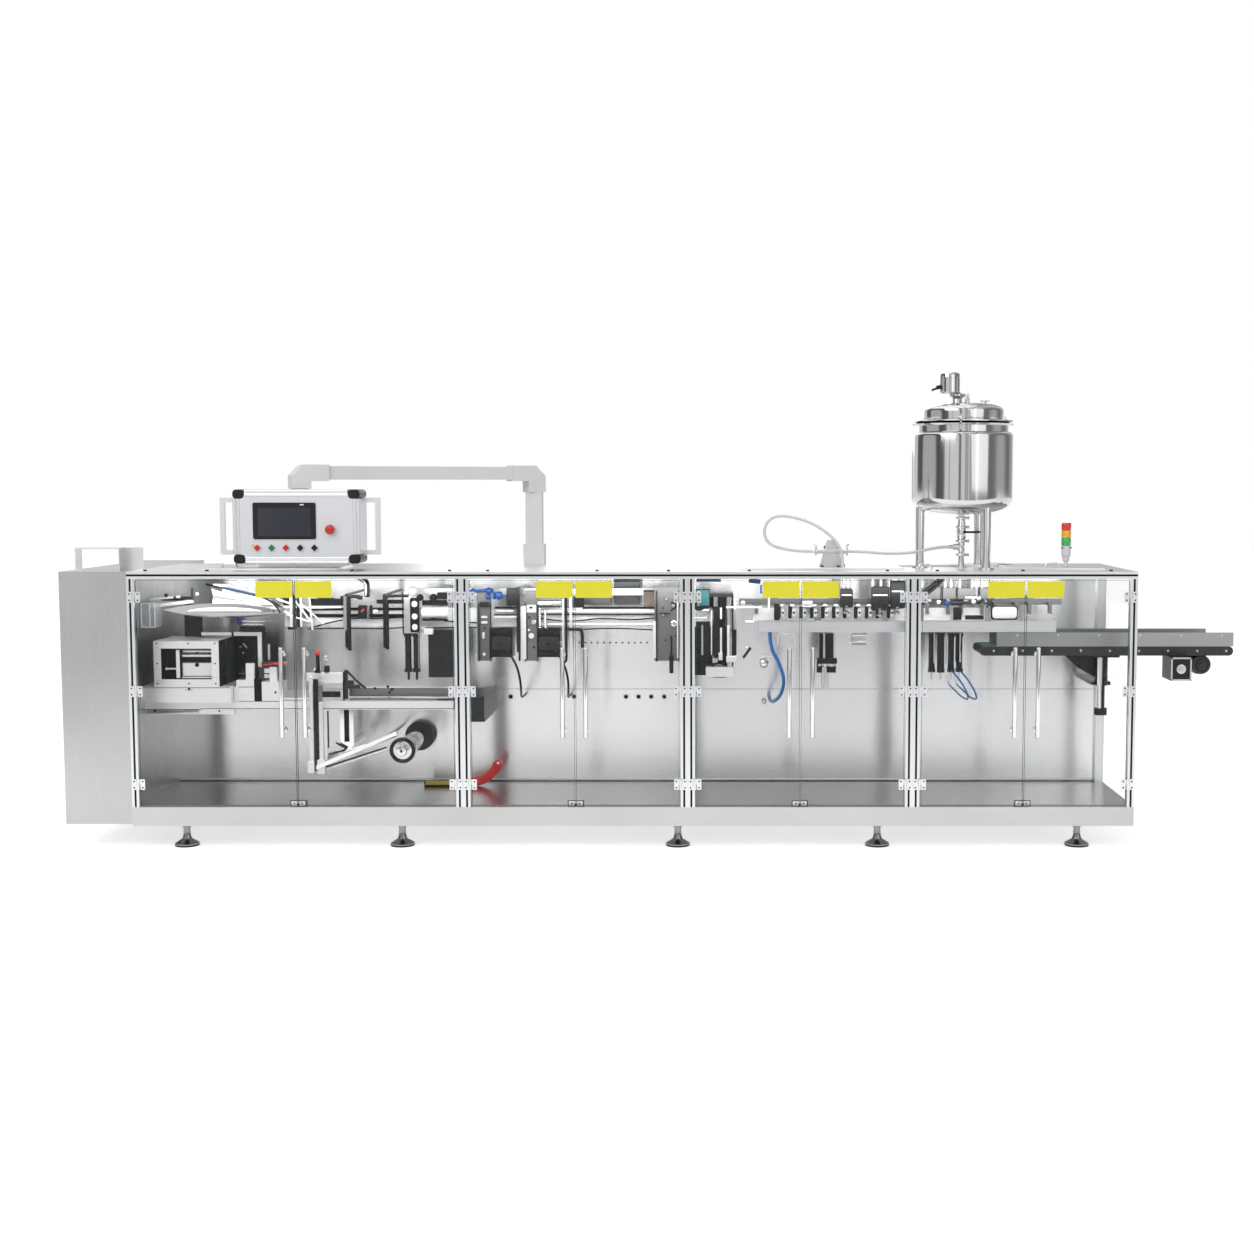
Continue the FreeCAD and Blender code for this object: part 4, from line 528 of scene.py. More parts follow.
def hinge(line, side, level, upper):
    """One half of a lift-off hinge: a screwed plate, its web and its knuckle."""
    start, stop = line + side * (KNUCKLE + 1.5), line + side * (KNUCKLE + 21.5)
    low, high = (level + 0.2, level + HINGE_HALF) if upper else (level - HINGE_HALF, level - 0.2)
    parts = [
        slab(at(start, -4, level - HINGE_HALF), at(stop, 0, level + HINGE_HALF), 0.0006, 0.003),
        slab(at(line, -4, low), at(start + side * 0.5, -0.5, high), 0.0003),
        spun(at(line, -KNUCKLE, low), UP, [(0, 0.0052), (0.0008, 0.006),
            ((high - low) * MM - 0.0008, 0.006), ((high - low) * MM, 0.0052)], 18)]
    heads = [screw(at(line + side * (KNUCKLE + 12), -4, level + shift), OUT, 0.0036, 0.002)
        for shift in (-13, 13)]
    return parts, heads


def leaf(node):
    """The glass, edges, hinges, handle and yellow plate of one door leaf."""
    side = 1 if node.endswith("left") else -1
    joint = [j for j in frame["joints"] if j["name"] == node + "_hinge"][0]
    line = (joint["pos_m"][0] - LEFT) / MM
    low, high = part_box(node)
    meeting = ((high.x if side > 0 else low.x) - LEFT) / MM
    near = line + side * 6
    bottom, top = low.z / MM, high.z / MM
    add(node + "_glass", "door_glass", [slab(at(near, 0, bottom), at(meeting, GLASS, top), 0.0008)], node,
        (node,))
    edges = [slab(at(x - 0.7, -0.15, bottom), at(x + 0.7, GLASS + 0.15, top), 0.0001) for x in
             (near + side * 0.4, meeting - side * 0.4)]
    edges += [slab(at(near, -0.15, z - 0.7), at(meeting, GLASS + 0.15, z + 0.7), 0.0001) for z in
              (bottom + 0.4, top - 0.4)]
    add(node + "_edges", "glass_edge", edges, node)
    plates, heads = [], []
    for level in HINGE_LEVELS:
        parts, screws = hinge(line, side, level, True)
        plates += parts
        heads += screws
    grip = meeting - side * HANDLE_IN
    add(node + "_hinges", "anodised_along", plates, node)
    long = HANDLE_LONG * MM
    tube = [spun(at(grip, -HANDLE_OUT, HANDLE_LOW), UP, [(0, 0.006), (0.002, 0.0088), (0.004, 0.0095),
        (long - 0.004, 0.0095), (long - 0.002, 0.0088), (long, 0.006)], 24)]
    for level in HANDLE_BOLTS:
        tube.append(rod(at(grip, -HANDLE_OUT, level), at(grip, -2, level), 0.006, 0.0004, 18))
        tube.append(spun(at(grip, 0, level), OUT, [(0, 0.011), (0.002, 0.011), (0.003, 0.009)], 20))
        tube.append(spun(at(grip, GLASS, level), -OUT, [(0, 0.011), (0.003, 0.010), (0.004, 0.006)], 20))
    add(node + "_handle", "bright_steel", tube, node)
    add(node + "_screws", "dark_steel", heads, node)
    edge = meeting - side * 3
    add(node + "_plate", "plate_yellow", [slab(at(edge, -0.8, top - 4 - PLATE_HIGH),
        at(edge - side * PLATE_WIDE, -0.1, top - 4), 0.0002, 0.003)], node)
    return line, side


fixed, fixed_heads = [], []
for node in sorted(name for name in nodes if name.startswith("door_")):
    line, side = leaf(node)
    for level in HINGE_LEVELS:
        parts, screws = hinge(line, -side, level, False)
        fixed += parts
        fixed_heads += screws
add("post_hinges", "anodised_along", fixed, stands_for=("hinge_plates",))
add("post_hinge_screws", "dark_steel", fixed_heads)
print(len(fixed), "hinge shells on the posts")

# %% [markdown]
# The operator screen is a pale box in a frame of rounded extrusions with black corner pieces. Its glass,
# its five push-buttons and its emergency stop stand a few millimetres proud of the face.

# %% Operator screen: housing
box_low, box_high = (np.array(corner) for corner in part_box("hmi_box"))
SCREEN_HIGH = 0.314
FRAME_BAR, CORNER = 0.030, 0.050
top_of_box = box_low[2] + SCREEN_HIGH
inner = slab(box_low + (0.012, 0.004, 0.012), (box_high[0] - 0.012, box_high[1] - 0.004,
    top_of_box - 0.012), 0.002, 0.010, along=1, steps=4)
neck_x = (box_low[0] + box_high[0]) / 2
neck_y = (box_low[1] + box_high[1]) / 2
add("screen_case", "pale_panel", [inner], "hmi_panel", ("hmi_box",))


def extrusion(low, high, along):
    """A bar of rounded section with a shallow groove line, as two bars side by side."""
    low, high = np.array(low, float), np.array(high, float)
    middle = (low + high) / 2
    across = 2 if along == 0 else 0
    first, second = high.copy(), low.copy()
    first[across] = middle[across] - 0.0006
    second[across] = middle[across] + 0.0006
    return [slab(low, first, 0.0015, 0.005, along, 4), slab(second, high, 0.0015, 0.005, along, 4)]


bars = []
for z in (box_low[2], top_of_box - FRAME_BAR):
    bars += extrusion((box_low[0] + CORNER, box_low[1], z),
        (box_high[0] - CORNER, box_high[1], z + FRAME_BAR), 0)
for x in (box_low[0], box_high[0] - FRAME_BAR):
    bars += extrusion((x, box_low[1] + 0.0005, box_low[2] + CORNER * 0.8),
                      (x + FRAME_BAR, box_high[1] - 0.0005, top_of_box - CORNER * 0.8), 2)
bars.append(spun((neck_x, neck_y, top_of_box - 0.001), UP, [(0, 0.040), (0.002, 0.040), (0.004, 0.034)]))
add("screen_frame", "anodised_along", bars, "hmi_panel")
corners = []
for x0, x1 in ((box_low[0], box_low[0] + CORNER), (box_high[0] - CORNER, box_high[0])):
    for z0, z1 in ((box_low[2], box_low[2] + CORNER * 0.8), (top_of_box - CORNER * 0.8, top_of_box)):
        corners.append(
            slab((x0, box_low[1] + 0.001, z0), (x1, box_high[1] - 0.001, z1), 0.004, 0.016, 1, 5))
add("screen_corners", "black_plastic", corners, "hmi_panel")

# %% [markdown]
# On the face sit a black touch screen with a lit display, five square push-buttons in round collars, and
# one mushroom-headed stop. They are turned pieces and thin slabs. They ride on the panel, so they swing
# with it, and their faces stay bare of words.

# %% Operator screen: glass, buttons and stop
FACE_WIDE, FACE_HIGH = 0.447, 0.247
DISPLAY_WIDE, DISPLAY_HIGH = 0.267, 0.155
BUTTON_PITCH = 0.0605
face_y = box_low[1] + 0.004
face_left = neck_x - FACE_WIDE / 2
face_low = box_low[2] + (SCREEN_HIGH - FACE_HIGH) / 2
face_high = face_low + FACE_HIGH
screen_low = np.array([face_left + 0.040, face_y - 0.006, face_high - 0.022 - DISPLAY_HIGH])
screen_high = screen_low + (DISPLAY_WIDE, 0.006, DISPLAY_HIGH)
add("screen_bezel", "black_plastic", [slab(screen_low, screen_high, 0.002, 0.008, 1, 4)], "hmi_panel")
add("screen_surround", "white_paint",
    [slab(screen_low + (-0.004, 0.003, -0.004), screen_high + (0.004, 0, 0.004), 0.001, 0.010, 1, 4)],
    "hmi_panel")
add("screen_display", "screen_glass",
    [slab(screen_low + (0.022, -0.0006, 0.014), screen_high + (-0.022, -0.005, -0.022), 0.0003)],
    "hmi_panel")
add("screen_lamp", "white_paint",
    [slab(screen_low + (0.200, -0.001, 0.143), screen_low + (0.218, 0.001, 0.149), 0.0004, 0.0025, 1)],
    "hmi_panel")
BUTTONS = ("button_red", "button_green", "button_red", "black_plastic", "black_plastic")
collars, screws = [], []
for number, colour in enumerate(BUTTONS):
    middle = np.array([face_left + 0.057 + number * BUTTON_PITCH, face_y, face_low + 0.034])
    collars.append(spun(middle, OUT, [(0, 0.0165), (0.003, 0.0165), (0.004, 0.015), (0.004, 0.0125)], 32))
    cap = spun(middle + OUT * 0.003, OUT, [(0, 0.0145), (0.005, 0.0145), (0.007, 0.0125)], 4)
    add("button_" + str(number + 1), colour, [cap], "hmi_panel", angle=20)
stop = np.array([neck_x + FACE_WIDE / 2 - 0.078, face_y, face_low + 0.111])
collars.append(spun(stop, OUT, [(0, 0.027), (0.003, 0.027), (0.005, 0.025), (0.005, 0.016)], 36))
add("button_collars", "white_paint", collars, "hmi_panel")
add("emergency_stop", "button_red", [spun(stop + OUT * 0.004, OUT, [(0, 0.011), (0.012, 0.011),
    (0.013, 0.019), (0.017, 0.0205), (0.022, 0.0195), (0.0252, 0.015), (0.0265, 0.006)], 36)],
    "hmi_panel")
add("start_lamp", "lamp_amber", [spun(np.array([face_left + 0.041, face_y, face_low + 0.043]), OUT,
    [(0, 0.006), (0.003, 0.006), (0.005, 0.004)], 20)], "hmi_panel", ("hmi_controls",))
print("screen from", round(float(box_low[0]), 3), "to", round(float(box_high[0]), 3))

# %% [markdown]
# The mixing tank is spun and welded stainless sheet: a straight shell, a dished bottom, a drawn-in neck and
# a domed lid held down on a rim by a clamp ring. A dish of this kind is flatter than a ball in the middle
# and tighter at its knuckle, which a superellipse gives: r = R sin(a)^q and z = H cos(a)^q, with q under
# one.

# %% Tank
DISH_POWER = 0.78


def dish(radius, height, steps=14):
    """Stations of a dished end, from the pole to the edge, as (drop below the edge, radius)."""
    angles = np.linspace(0.02, np.pi / 2, steps)
    return height * np.cos(angles) ** DISH_POWER, radius * np.sin(angles) ** DISH_POWER


shell_low, shell_high = (np.array(corner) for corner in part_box("tank_shell"))
dish_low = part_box("tank_bottom")[0].z + 0.004
lid_low, lid_high = (np.array(corner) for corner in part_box("tank_lid"))
tank_x, tank_y = (shell_low + shell_high)[:2] / 2
tank_radius = 0.217
neck_radius = 0.196
lid_radius = 0.175
shell_bottom, shell_top = shell_low[2], shell_high[2] - 0.044
drops, radii = dish(tank_radius - 0.0005, shell_bottom - dish_low)
stations = [(shell_bottom - drop - dish_low, radius) for drop, radius in zip(drops, radii)]
shoulder = np.linspace(0, np.pi / 2, 7)[1:]
stations.append((shell_top - 0.020 - dish_low, tank_radius - 0.0005))
stations += [(shell_top - 0.020 + 0.020 * math.sin(a) - dish_low,
    tank_radius - 0.0005 - 0.021 * (1 - math.cos(a))) for a in shoulder]
stations += [(shell_top + 0.026 - dish_low, neck_radius),
    (shell_top + 0.028 - dish_low, tank_radius - 0.001),
    (shell_high[2] - 0.010 - dish_low, tank_radius),
    (shell_high[2] - 0.008 - dish_low, lid_radius + 0.012)]
add("tank_body", "tank_steel", [spun((tank_x, tank_y, dish_low), UP, stations, 96)],
    stands_for=("tank_shell", "tank_bottom"), angle=50)
lid_wall = (lid_high[2] - lid_low[2]) * 0.52
drops, radii = dish(lid_radius, lid_high[2] - lid_low[2] - lid_wall)
stations = [(0.0, lid_radius * 0.98), (0.006, lid_radius * 0.985)]
stations += [(lid_wall + drop, radius) for drop, radius in zip(drops[::-1], radii[::-1])]
add("tank_dome", "tank_steel", [spun((tank_x, tank_y, lid_low[2]), UP, stations, 96)],
    stands_for=("tank_lid",), angle=50)
seam = shell_high[2] - 0.008
add("tank_gasket", "slot_black",
    [spun((tank_x, tank_y, seam), UP, [(0, 0.196), (0.003, 0.200), (0.006, 0.196)], 72)])
add("tank_rim", "bright_steel", [spun((tank_x, tank_y, seam + 0.005), UP, [
    (0, 0.176), (0.0005, 0.214), (0.002, 0.2165), (0.005, 0.2165), (0.007, 0.214), (0.008, 0.178)], 96)])
print("tank shell", round(float(shell_bottom), 3), "to", round(float(shell_top), 3), "lid to",
      round(float(lid_high[2]), 3))

# %% [markdown]
# The lid's fittings: three swing bolts, an inlet pipe on a ferrule, a wing-handled port and the stirrer's
# motor.

# %% Tank fittings
lid_top = lid_high[2]
fittings = [
    spun((tank_x + 0.010, tank_y - 0.060, lid_top - 0.018), UP, [(0, 0.030), (0.004, 0.030),
        (0.006, 0.026), (0.008, 0.011), (0.050, 0.011), (0.052, 0.012), (0.054, 0.009)], 24),
    spun((tank_x + 0.090, tank_y - 0.020, lid_top - 0.030), UP, [(0, 0.024), (0.012, 0.024),
        (0.014, 0.010), (0.034, 0.008), (0.036, 0.006)], 24),
    rod((tank_x + 0.070, tank_y - 0.020, lid_top + 0.008),
        (tank_x + 0.112, tank_y - 0.020, lid_top + 0.008), 0.0035)]
for turn in (20, 140, 260):
    x = tank_x + 0.205 * math.cos(math.radians(turn))
    y = tank_y + 0.205 * math.sin(math.radians(turn))
    fittings.append(rod((x, y, seam - 0.030), (x, y, seam + 0.034), 0.004))
    fittings.append(spun((x, y, seam + 0.013), UP, [(0, 0.011), (0.008, 0.011), (0.012, 0.007)], 16))
motor_low, motor_high = (np.array(corner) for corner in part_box("agitator_drive"))
MOTOR_HIGH, MOTOR_IN = 0.092, 0.052
motor_x = motor_low[0] + MOTOR_IN
motor_base = motor_high[2] - MOTOR_HIGH
drive = [
    spun((motor_x, tank_y, motor_base), UP, [(0, 0.030), (0.001, 0.040), (0.004, 0.0432), (0.008, 0.0438),
        (0.066, 0.0438), (0.067, 0.0425), (0.069, 0.0425), (0.070, 0.0438), (0.084, 0.0430),
        (0.089, 0.0395), (0.0918, 0.030)], 40),
    spun((motor_x + 0.033, tank_y, lid_top - 0.024), UP, [(0, 0.038), (0.010, 0.038), (0.012, 0.022),
        (0.040, 0.020), (0.052, 0.034), (motor_base - lid_top + 0.023, 0.034)], 32)]
add("stirrer_motor", "tank_steel", drive, stands_for=("agitator_drive",))
add("stirrer_gland", "black_plastic", [
    rod((motor_x - 0.040, tank_y - 0.010, motor_base + 0.030),
        (motor_x - 0.056, tank_y - 0.020, motor_base + 0.026), 0.009),
    rod((motor_x - 0.052, tank_y - 0.018, motor_base + 0.026),
        (motor_x - 0.080, tank_y - 0.022, motor_base + 0.014), 0.0045),
    rod((motor_x + 0.030, tank_y - 0.012, motor_base + 0.006),
        (motor_x + 0.048, tank_y - 0.012, motor_base - 0.004), 0.006)])
add("tank_fittings", "bright_steel", fittings)

# %% [markdown]
# Under the dish hangs a run of sanitary pipe: ferrules held by clamps with wing screws, a ball valve with a
# black lever, and a tee towards the pump. Nearly all of it is turned work on one upright line, so circles
# along that line describe it.

# %% Outlet valve under the tank
tee_level = 1.262
valve_x, valve_y = tank_x, tank_y
clamps = []
for level in (dish_low - 0.012, dish_low - 0.052, tee_level + 0.026, tee_level - 0.034):
    clamps.append(spun((valve_x, valve_y, level - 0.006), UP, [
        (0, 0.015), (0.001, 0.024), (0.003, 0.0255), (0.009, 0.0255), (0.011, 0.024), (0.012, 0.015)], 32))
    clamps.append(
        rod((valve_x + 0.024, valve_y - 0.010, level), (valve_x + 0.024, valve_y - 0.036, level), 0.003))
    clamps.append(spun((valve_x + 0.024, valve_y - 0.030, level), OUT,
        [(0, 0.007), (0.004, 0.007), (0.008, 0.003)], 12))
pipe = [
    spun((valve_x, valve_y, DECK), UP, [(0, 0.026), (0.003, 0.026), (0.004, 0.0135),
        (tee_level - DECK, 0.0135)], 32),
    spun((valve_x, valve_y, tee_level - 0.02), UP, [(0, 0.0140), (0.001, 0.0145), (0.048, 0.0145),
        (0.049, 0.014)], 32),
    spun((valve_x, valve_y, tee_level + 0.028), UP, [(0, 0.013), (0.010, 0.019), (0.034, 0.021),
        (0.050, 0.019), (dish_low - tee_level - 0.030, 0.013)], 32),
    spun((valve_x - 0.058, valve_y, tee_level), ACROSS, [(0, 0.0075), (0.006, 0.0085), (0.020, 0.0085),
        (0.022, 0.0135), (0.058, 0.0135)], 24)]
add("outlet_pipe", "bright_steel", pipe + clamps, stands_for=("outlet_valve",))
add("valve_lever", "black_plastic", [
    slab((valve_x + 0.010, valve_y - 0.030, tee_level + 0.060),
        (valve_x + 0.078, valve_y - 0.024, tee_level + 0.069), 0.001, 0.003, 1),
    rod((valve_x + 0.012, valve_y, tee_level + 0.064),
        (valve_x + 0.012, valve_y - 0.026, tee_level + 0.064), 0.006)])
print(len(clamps), "clamp shells")

# %% [markdown]
# The lamp tower is three short coloured drums on a white base. Each lens is turned with its edges rounded,
# and a wet coat gives it the shine of clear plastic.

# %% Lamp tower
tower_low, tower_high = (np.array(corner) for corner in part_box("signal_tower"))
tower_x, tower_y = (tower_low + tower_high)[:2] / 2
LENS = 0.032


def lens(level, height=LENS):
    """A drum with both edges rounded over three millimetres."""
    return spun((tower_x, tower_y, level), UP, [(0, 0.0185), (0.0012, 0.0202), (0.003, 0.0208),
        (height - 0.003, 0.0208), (height - 0.0012, 0.0202), (height, 0.0185)], 36)


lens_low = tower_high[2] - 3 * LENS - 0.001
for name, number in (("green", 0), ("amber", 1), ("red", 2)):
    add("tower_" + name, "lamp_" + name, [lens(lens_low + number * (LENS + 0.0003))])
tower = [
    spun((tower_x, tower_y, tower_low[2]), UP,
        [(0, 0.020), (0.003, 0.020), (0.004, 0.009), (0.034, 0.009)], 28),
    spun((tower_x, tower_y, tower_low[2] + 0.030), UP, [(0, 0.009), (0.006, 0.015), (0.022, 0.016),
        (0.026, 0.020), (lens_low - tower_low[2] - 0.031, 0.0205)], 36)]
add("tower_base", "white_paint", tower, stands_for=("signal_tower",))
add("tower_clamps", "dark_steel", [screw((tower_x + side * 0.018, tower_y - 0.010, lens_low - 0.010), OUT,
    0.004, 0.004) for side in (-1, 1)])
print("tower top", round(float(tower_high[2]), 3))

# %% [markdown]
# The deck carries loose cover trays, small bent handles and studs. The pump's bracket has clamps with wing
# screws at its two ports, and nuts on its plates.

# %% Deck


def tray(along, length, depth, width, height=9):
    """A flat cover with folded edges: a plate with a lower, slightly larger foot."""
    return [
        slab(at(along, depth, DECK / MM), at(along + length, depth + width, DECK / MM + height * 0.4),
            0.0008, 0.004),
        slab(at(along + 3, depth + 3, DECK / MM),
            at(along + length - 3, depth + width - 3, DECK / MM + height), 0.0015, 0.006)]


def loop_handle(along, depth, length=70, rise=26):
    """A bent rod whose height is rise * (1 - |2 s - 1|^6), with s from 0 to 1 across."""
    steps = np.linspace(0, 1, 25)
    across = (steps - 0.5) * length
    up = rise * (1 - np.abs(2 * steps - 1) ** 6)
    path = np.stack([along + across, np.full_like(across, depth), DECK / MM + up], -1)
    return swept(np.array([at(*point) for point in path]), circle(0.004, 12), (0, 1.0, 0))


TRAYS = [(240, 620, 120, 300), (2560, 700, 120, 320), (3210, 560, 420, 240), (3700, 420, 150, 330)]
STUD_ALONG = (60, 320, 930, 1340, 1500, 1960, 2260, 2600, 3180, 3390, 3750, 4120)
covers = [part for places in TRAYS for part in tray(*places)]
add("deck_covers", "deck_steel", covers)
add("deck_handles", "bright_steel", [loop_handle(390, 160), loop_handle(700, 160),
    loop_handle(3350, 170, 60, 22), loop_handle(3900, 200)])
studs = [nut(at(along, 64, DECK / MM), UP, 0.008, 0.006) for along in STUD_ALONG]
add("deck_studs", "dark_steel", studs)
port_level = 1.244
wings = []
for x, side in ((LEFT + 2.896, -1), (LEFT + 3.017, 1)):
    wings.append(spun((x, FRONT + 0.274, port_level), ACROSS * side, [(0, 0.012), (0.002, 0.019),
        (0.006, 0.020), (0.012, 0.019), (0.014, 0.008), (0.020, 0.0075)], 24))
    wings.append(rod((x + side * 0.006, FRONT + 0.262, port_level + 0.012),
                     (x + side * 0.006, FRONT + 0.244, port_level + 0.030), 0.003))
    wings.append(spun((x + side * 0.006, FRONT + 0.246, port_level + 0.028), (side * 0.4, -0.6, 1), [
        (0, 0.003), (0.004, 0.009), (0.008, 0.003)], 8))
add("bracket_clamps", "bright_steel", wings)
plate_y = FRONT + 0.278
add("bracket_nuts", "dark_steel", [
    nut((LEFT + x, plate_y, 1.262), OUT, 0.007, 0.005) for x in (2.930, 2.984)]
    + [nut((LEFT + x, FRONT + 0.246, DECK + 0.008), UP, 0.008, 0.006) for x in (2.916, 2.985)])
print(len(covers) + len(studs), "shells on the deck")

# %% [markdown]
# The conveyor's gearbox has a bright frame on its face, its motor has cooling rings, and screws run along
# the side plates. They stand on the CAD pieces and take their places from those pieces' boxes.

# %% Conveyor details
gear_low, gear_high = (np.array(corner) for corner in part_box("conveyor_drive"))
GEAR_WIDE, GEAR_RIM = 0.088, 0.007
MOTOR_RADIUS = 0.042
gear_right = gear_low[0] + GEAR_WIDE
rim = []
for z0, z1 in ((gear_low[2], gear_low[2] + GEAR_RIM), (gear_high[2] - GEAR_RIM, gear_high[2])):
    rim.append(slab((gear_low[0], gear_low[1] - 0.003, z0), (gear_right, gear_low[1] + 0.001, z1), 0.0006))
for x0, x1 in ((gear_low[0], gear_low[0] + GEAR_RIM), (gear_right - GEAR_RIM, gear_right)):
    rim.append(
        slab((x0, gear_low[1] - 0.003, gear_low[2]), (x1, gear_low[1] + 0.001, gear_high[2]), 0.0006))
middle = ((gear_low[0] + gear_right) / 2, gear_low[1] - 0.0005, (gear_low[2] + gear_high[2]) / 2)
rim.append(
    spun(middle, OUT, [(0, 0.020), (0.002, 0.020), (0.003, 0.016), (0.003, 0.009), (0.009, 0.008)], 28))
add("gearbox_frame", "milled", rim)
motor_x = gear_high[0] - MOTOR_RADIUS
motor_y = gear_low[1] + 0.114
motor_z = gear_high[2] - MOTOR_RADIUS
rings = [spun((motor_x, motor_y, motor_z), OUT, [(0, 0.0415), (0.006, 0.0415), (0.008, 0.036),
    (0.008, 0.031), (0.004, 0.029), (0.004, 0.022), (0.010, 0.020), (0.010, 0.010), (0.014, 0.008)], 40)]
rings += [spun((motor_x, motor_y + 0.03 + step * 0.016, motor_z), -OUT, [(0, 0.0425), (0.002, 0.0455),
    (0.006, 0.0455), (0.008, 0.0425)], 40) for step in range(8)]
add("drive_rings", "dark_steel", rings)
frame_low, frame_high = (np.array(corner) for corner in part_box("conveyor_frame"))
side_screws = [screw((x, frame_low[1], frame_high[2] - 0.079), OUT, 0.005, 0.003)
               for x in np.linspace(frame_low[0] + 0.06, frame_high[0] - 0.03, 9)]
side_screws += [screw((x, frame_low[1], frame_high[2] - 0.012), OUT, 0.004, 0.002)
                for x in np.linspace(frame_low[0] + 0.16, frame_high[0] - 0.05, 6)]
add("conveyor_screws", "bright_steel", side_screws)
print(len(side_screws), "screws on the conveyor")

# %% [markdown]
# Under the frame, each screw foot has a rubber sole and a thread that shows as fine rings above its lock
# nut.

# %% Feet and sill
foot_low, foot_high = (np.array(corner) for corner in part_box("levelling_feet"))
FOOT_ALONG = (206, 1124, 2297, 3146, 3996)
FOOT_IN = 0.051
foot_rows = (foot_low[1] + FOOT_IN, foot_high[1] - FOOT_IN)
soles, threads = [], []
for along in FOOT_ALONG:
    for y in foot_rows:
        x = LEFT + along * MM
        soles.append(
            spun((x, y, 0.0002), UP, [(0, 0.050), (0.001, 0.0515), (0.007, 0.0515), (0.008, 0.050)], 32))
        threads += [spun((x, y, 0.040 + step * 0.004), UP,
            [(0, 0.0118), (0.001, 0.0130), (0.002, 0.0118)], 20) for step in range(9)]
add("foot_soles", "black_plastic", soles)
bells = [spun((LEFT + along * MM, y, 0.030), UP, [(0, 0.021), (0.004, 0.0200), (0.012, 0.0172),
    (0.026, 0.0150), (0.044, 0.0142), (0.050, 0.0142), (0.051, 0.0185), (0.062, 0.0185), (0.063, 0.0150),
    (0.070, 0.0145)], 28) for along in FOOT_ALONG for y in foot_rows]
add("foot_bells", "foot_steel", bells)
add("foot_threads", "foot_steel", threads)
print(len(threads), "thread rings")

# %% [markdown]
# Behind the glass runs the pouch line. Its plates, bars and cylinders are CAD pieces. Small things dress
# them: socket screws, fittings, knobs, rods and the film. Most are drawn in millimetres, so a few short
# helpers read such numbers.

# %% Pouch line: helpers
def block(along, depth, level, bevel=1.0, corner=None, axis=None):
    """A slab between pairs of millimetres: along the machine, in depth and in level."""
    return slab(at(along[0], depth[0], level[0]), at(along[1], depth[1], level[1]), bevel * MM,
                None if corner is None else corner * MM, axis)


def bar(start, end, radius, around=16):
    """A round bar between two points in millimetres."""
    return rod(at(*start), at(*end), radius * MM, min(0.0006, radius * MM * 0.2), around)


def ball(along, depth, level, radius):
    """A sphere as circles of radius R sin a at heights R (1 - cos a), short of both poles."""
    angles = np.linspace(0.12, np.pi - 0.12, 8)
    return spun(at(along, depth, level - radius), UP,
                np.stack([radius * MM * (1 - np.cos(angles)), radius * MM * np.sin(angles)], -1), 14)


def plug(along, depth, level, radius, proud=1.0):
    """A round cap on a face that looks to the front."""
    return spun(at(along, depth, level), OUT, [(0, radius * MM), (proud * MM * 0.6, radius * MM),
        (proud * MM, radius * MM * 0.8)], 14)


def hoop(place, toward, outline, around=32):
    """A ring: a closed outline of (distance, radius) pairs carried right round an axis."""
    toward = np.array(toward, float) / np.linalg.norm(toward)
    helper = UP if abs(toward[2]) < 0.9 else ACROSS
    side = np.cross(helper, toward)
    side /= np.linalg.norm(side)
    up = np.cross(toward, side)
    distances, radii = np.array(outline, float).T
    loop = circle(1, around)
    flat = loop[:, :1] * side + loop[:, 1:] * up
    rings = np.array(place, float) + distances[:, None, None] * toward + radii[:, None, None] * flat[None]
    rows = len(outline)
    first, here = np.arange(rows)[:, None], np.arange(around)[None, :]
    after, ahead = (first + 1) % rows, (here + 1) % around
    quads = np.stack(
        [first * around + here, first * around + ahead, after * around + ahead, after * around + here],
        -1)
    return rings.reshape(-1, 3), quads.reshape(-1, 4).tolist()


def bent(points, radius, up=(0, 1, 0), around=12, passes=3):
    """A rigid pipe along a path whose corners are cut a quarter from each end, three times over."""
    path = np.array([at(*point) for point in points])
    for _ in range(passes):
        near, far = path[:-1] * 0.75 + path[1:] * 0.25, path[:-1] * 0.25 + path[1:] * 0.75
        path = np.concatenate([path[:1], np.stack([near, far], 1).reshape(-1, 3), path[-1:]])
    return swept(path, circle(radius * MM, around), up)


def finish_part(node, name, along=None, depth=None, level=None):
    """Gives one finish to those faces of a CAD node whose middles lie between the given millimetres."""
    mesh = nodes[node].data
    middles = np.zeros(len(mesh.polygons) * 3, np.float32)
    mesh.polygons.foreach_get("center", middles)
    middles = (middles.reshape(-1, 3) - np.array([LEFT, FRONT, 0])) / MM
    chosen = np.ones(len(middles), bool)
    for axis, limits in enumerate((along, depth, level)):
        if limits:
            chosen &= (middles[:, axis] > limits[0]) & (middles[:, axis] < limits[1])
    numbers = np.zeros(len(middles), np.int32)
    mesh.polygons.foreach_get("material_index", numbers)
    numbers[chosen] = len(mesh.materials)
    mesh.materials.append(MATERIALS[name])
    mesh.polygons.foreach_set("material_index", numbers)
    return int(chosen.sum())


print(len(ball(0, 0, 0, 10)[1]), "faces in a ball,",
    len(hoop((0, 0, 0), UP, [(0, 1), (1, 1), (1, 2)])[1]), "in a hoop")

# %% [markdown]
# One CAD piece may hold parts of several finishes: pale milled blocks, dark anodised ones and chromed rods.
# The faces are chosen by where they lie.

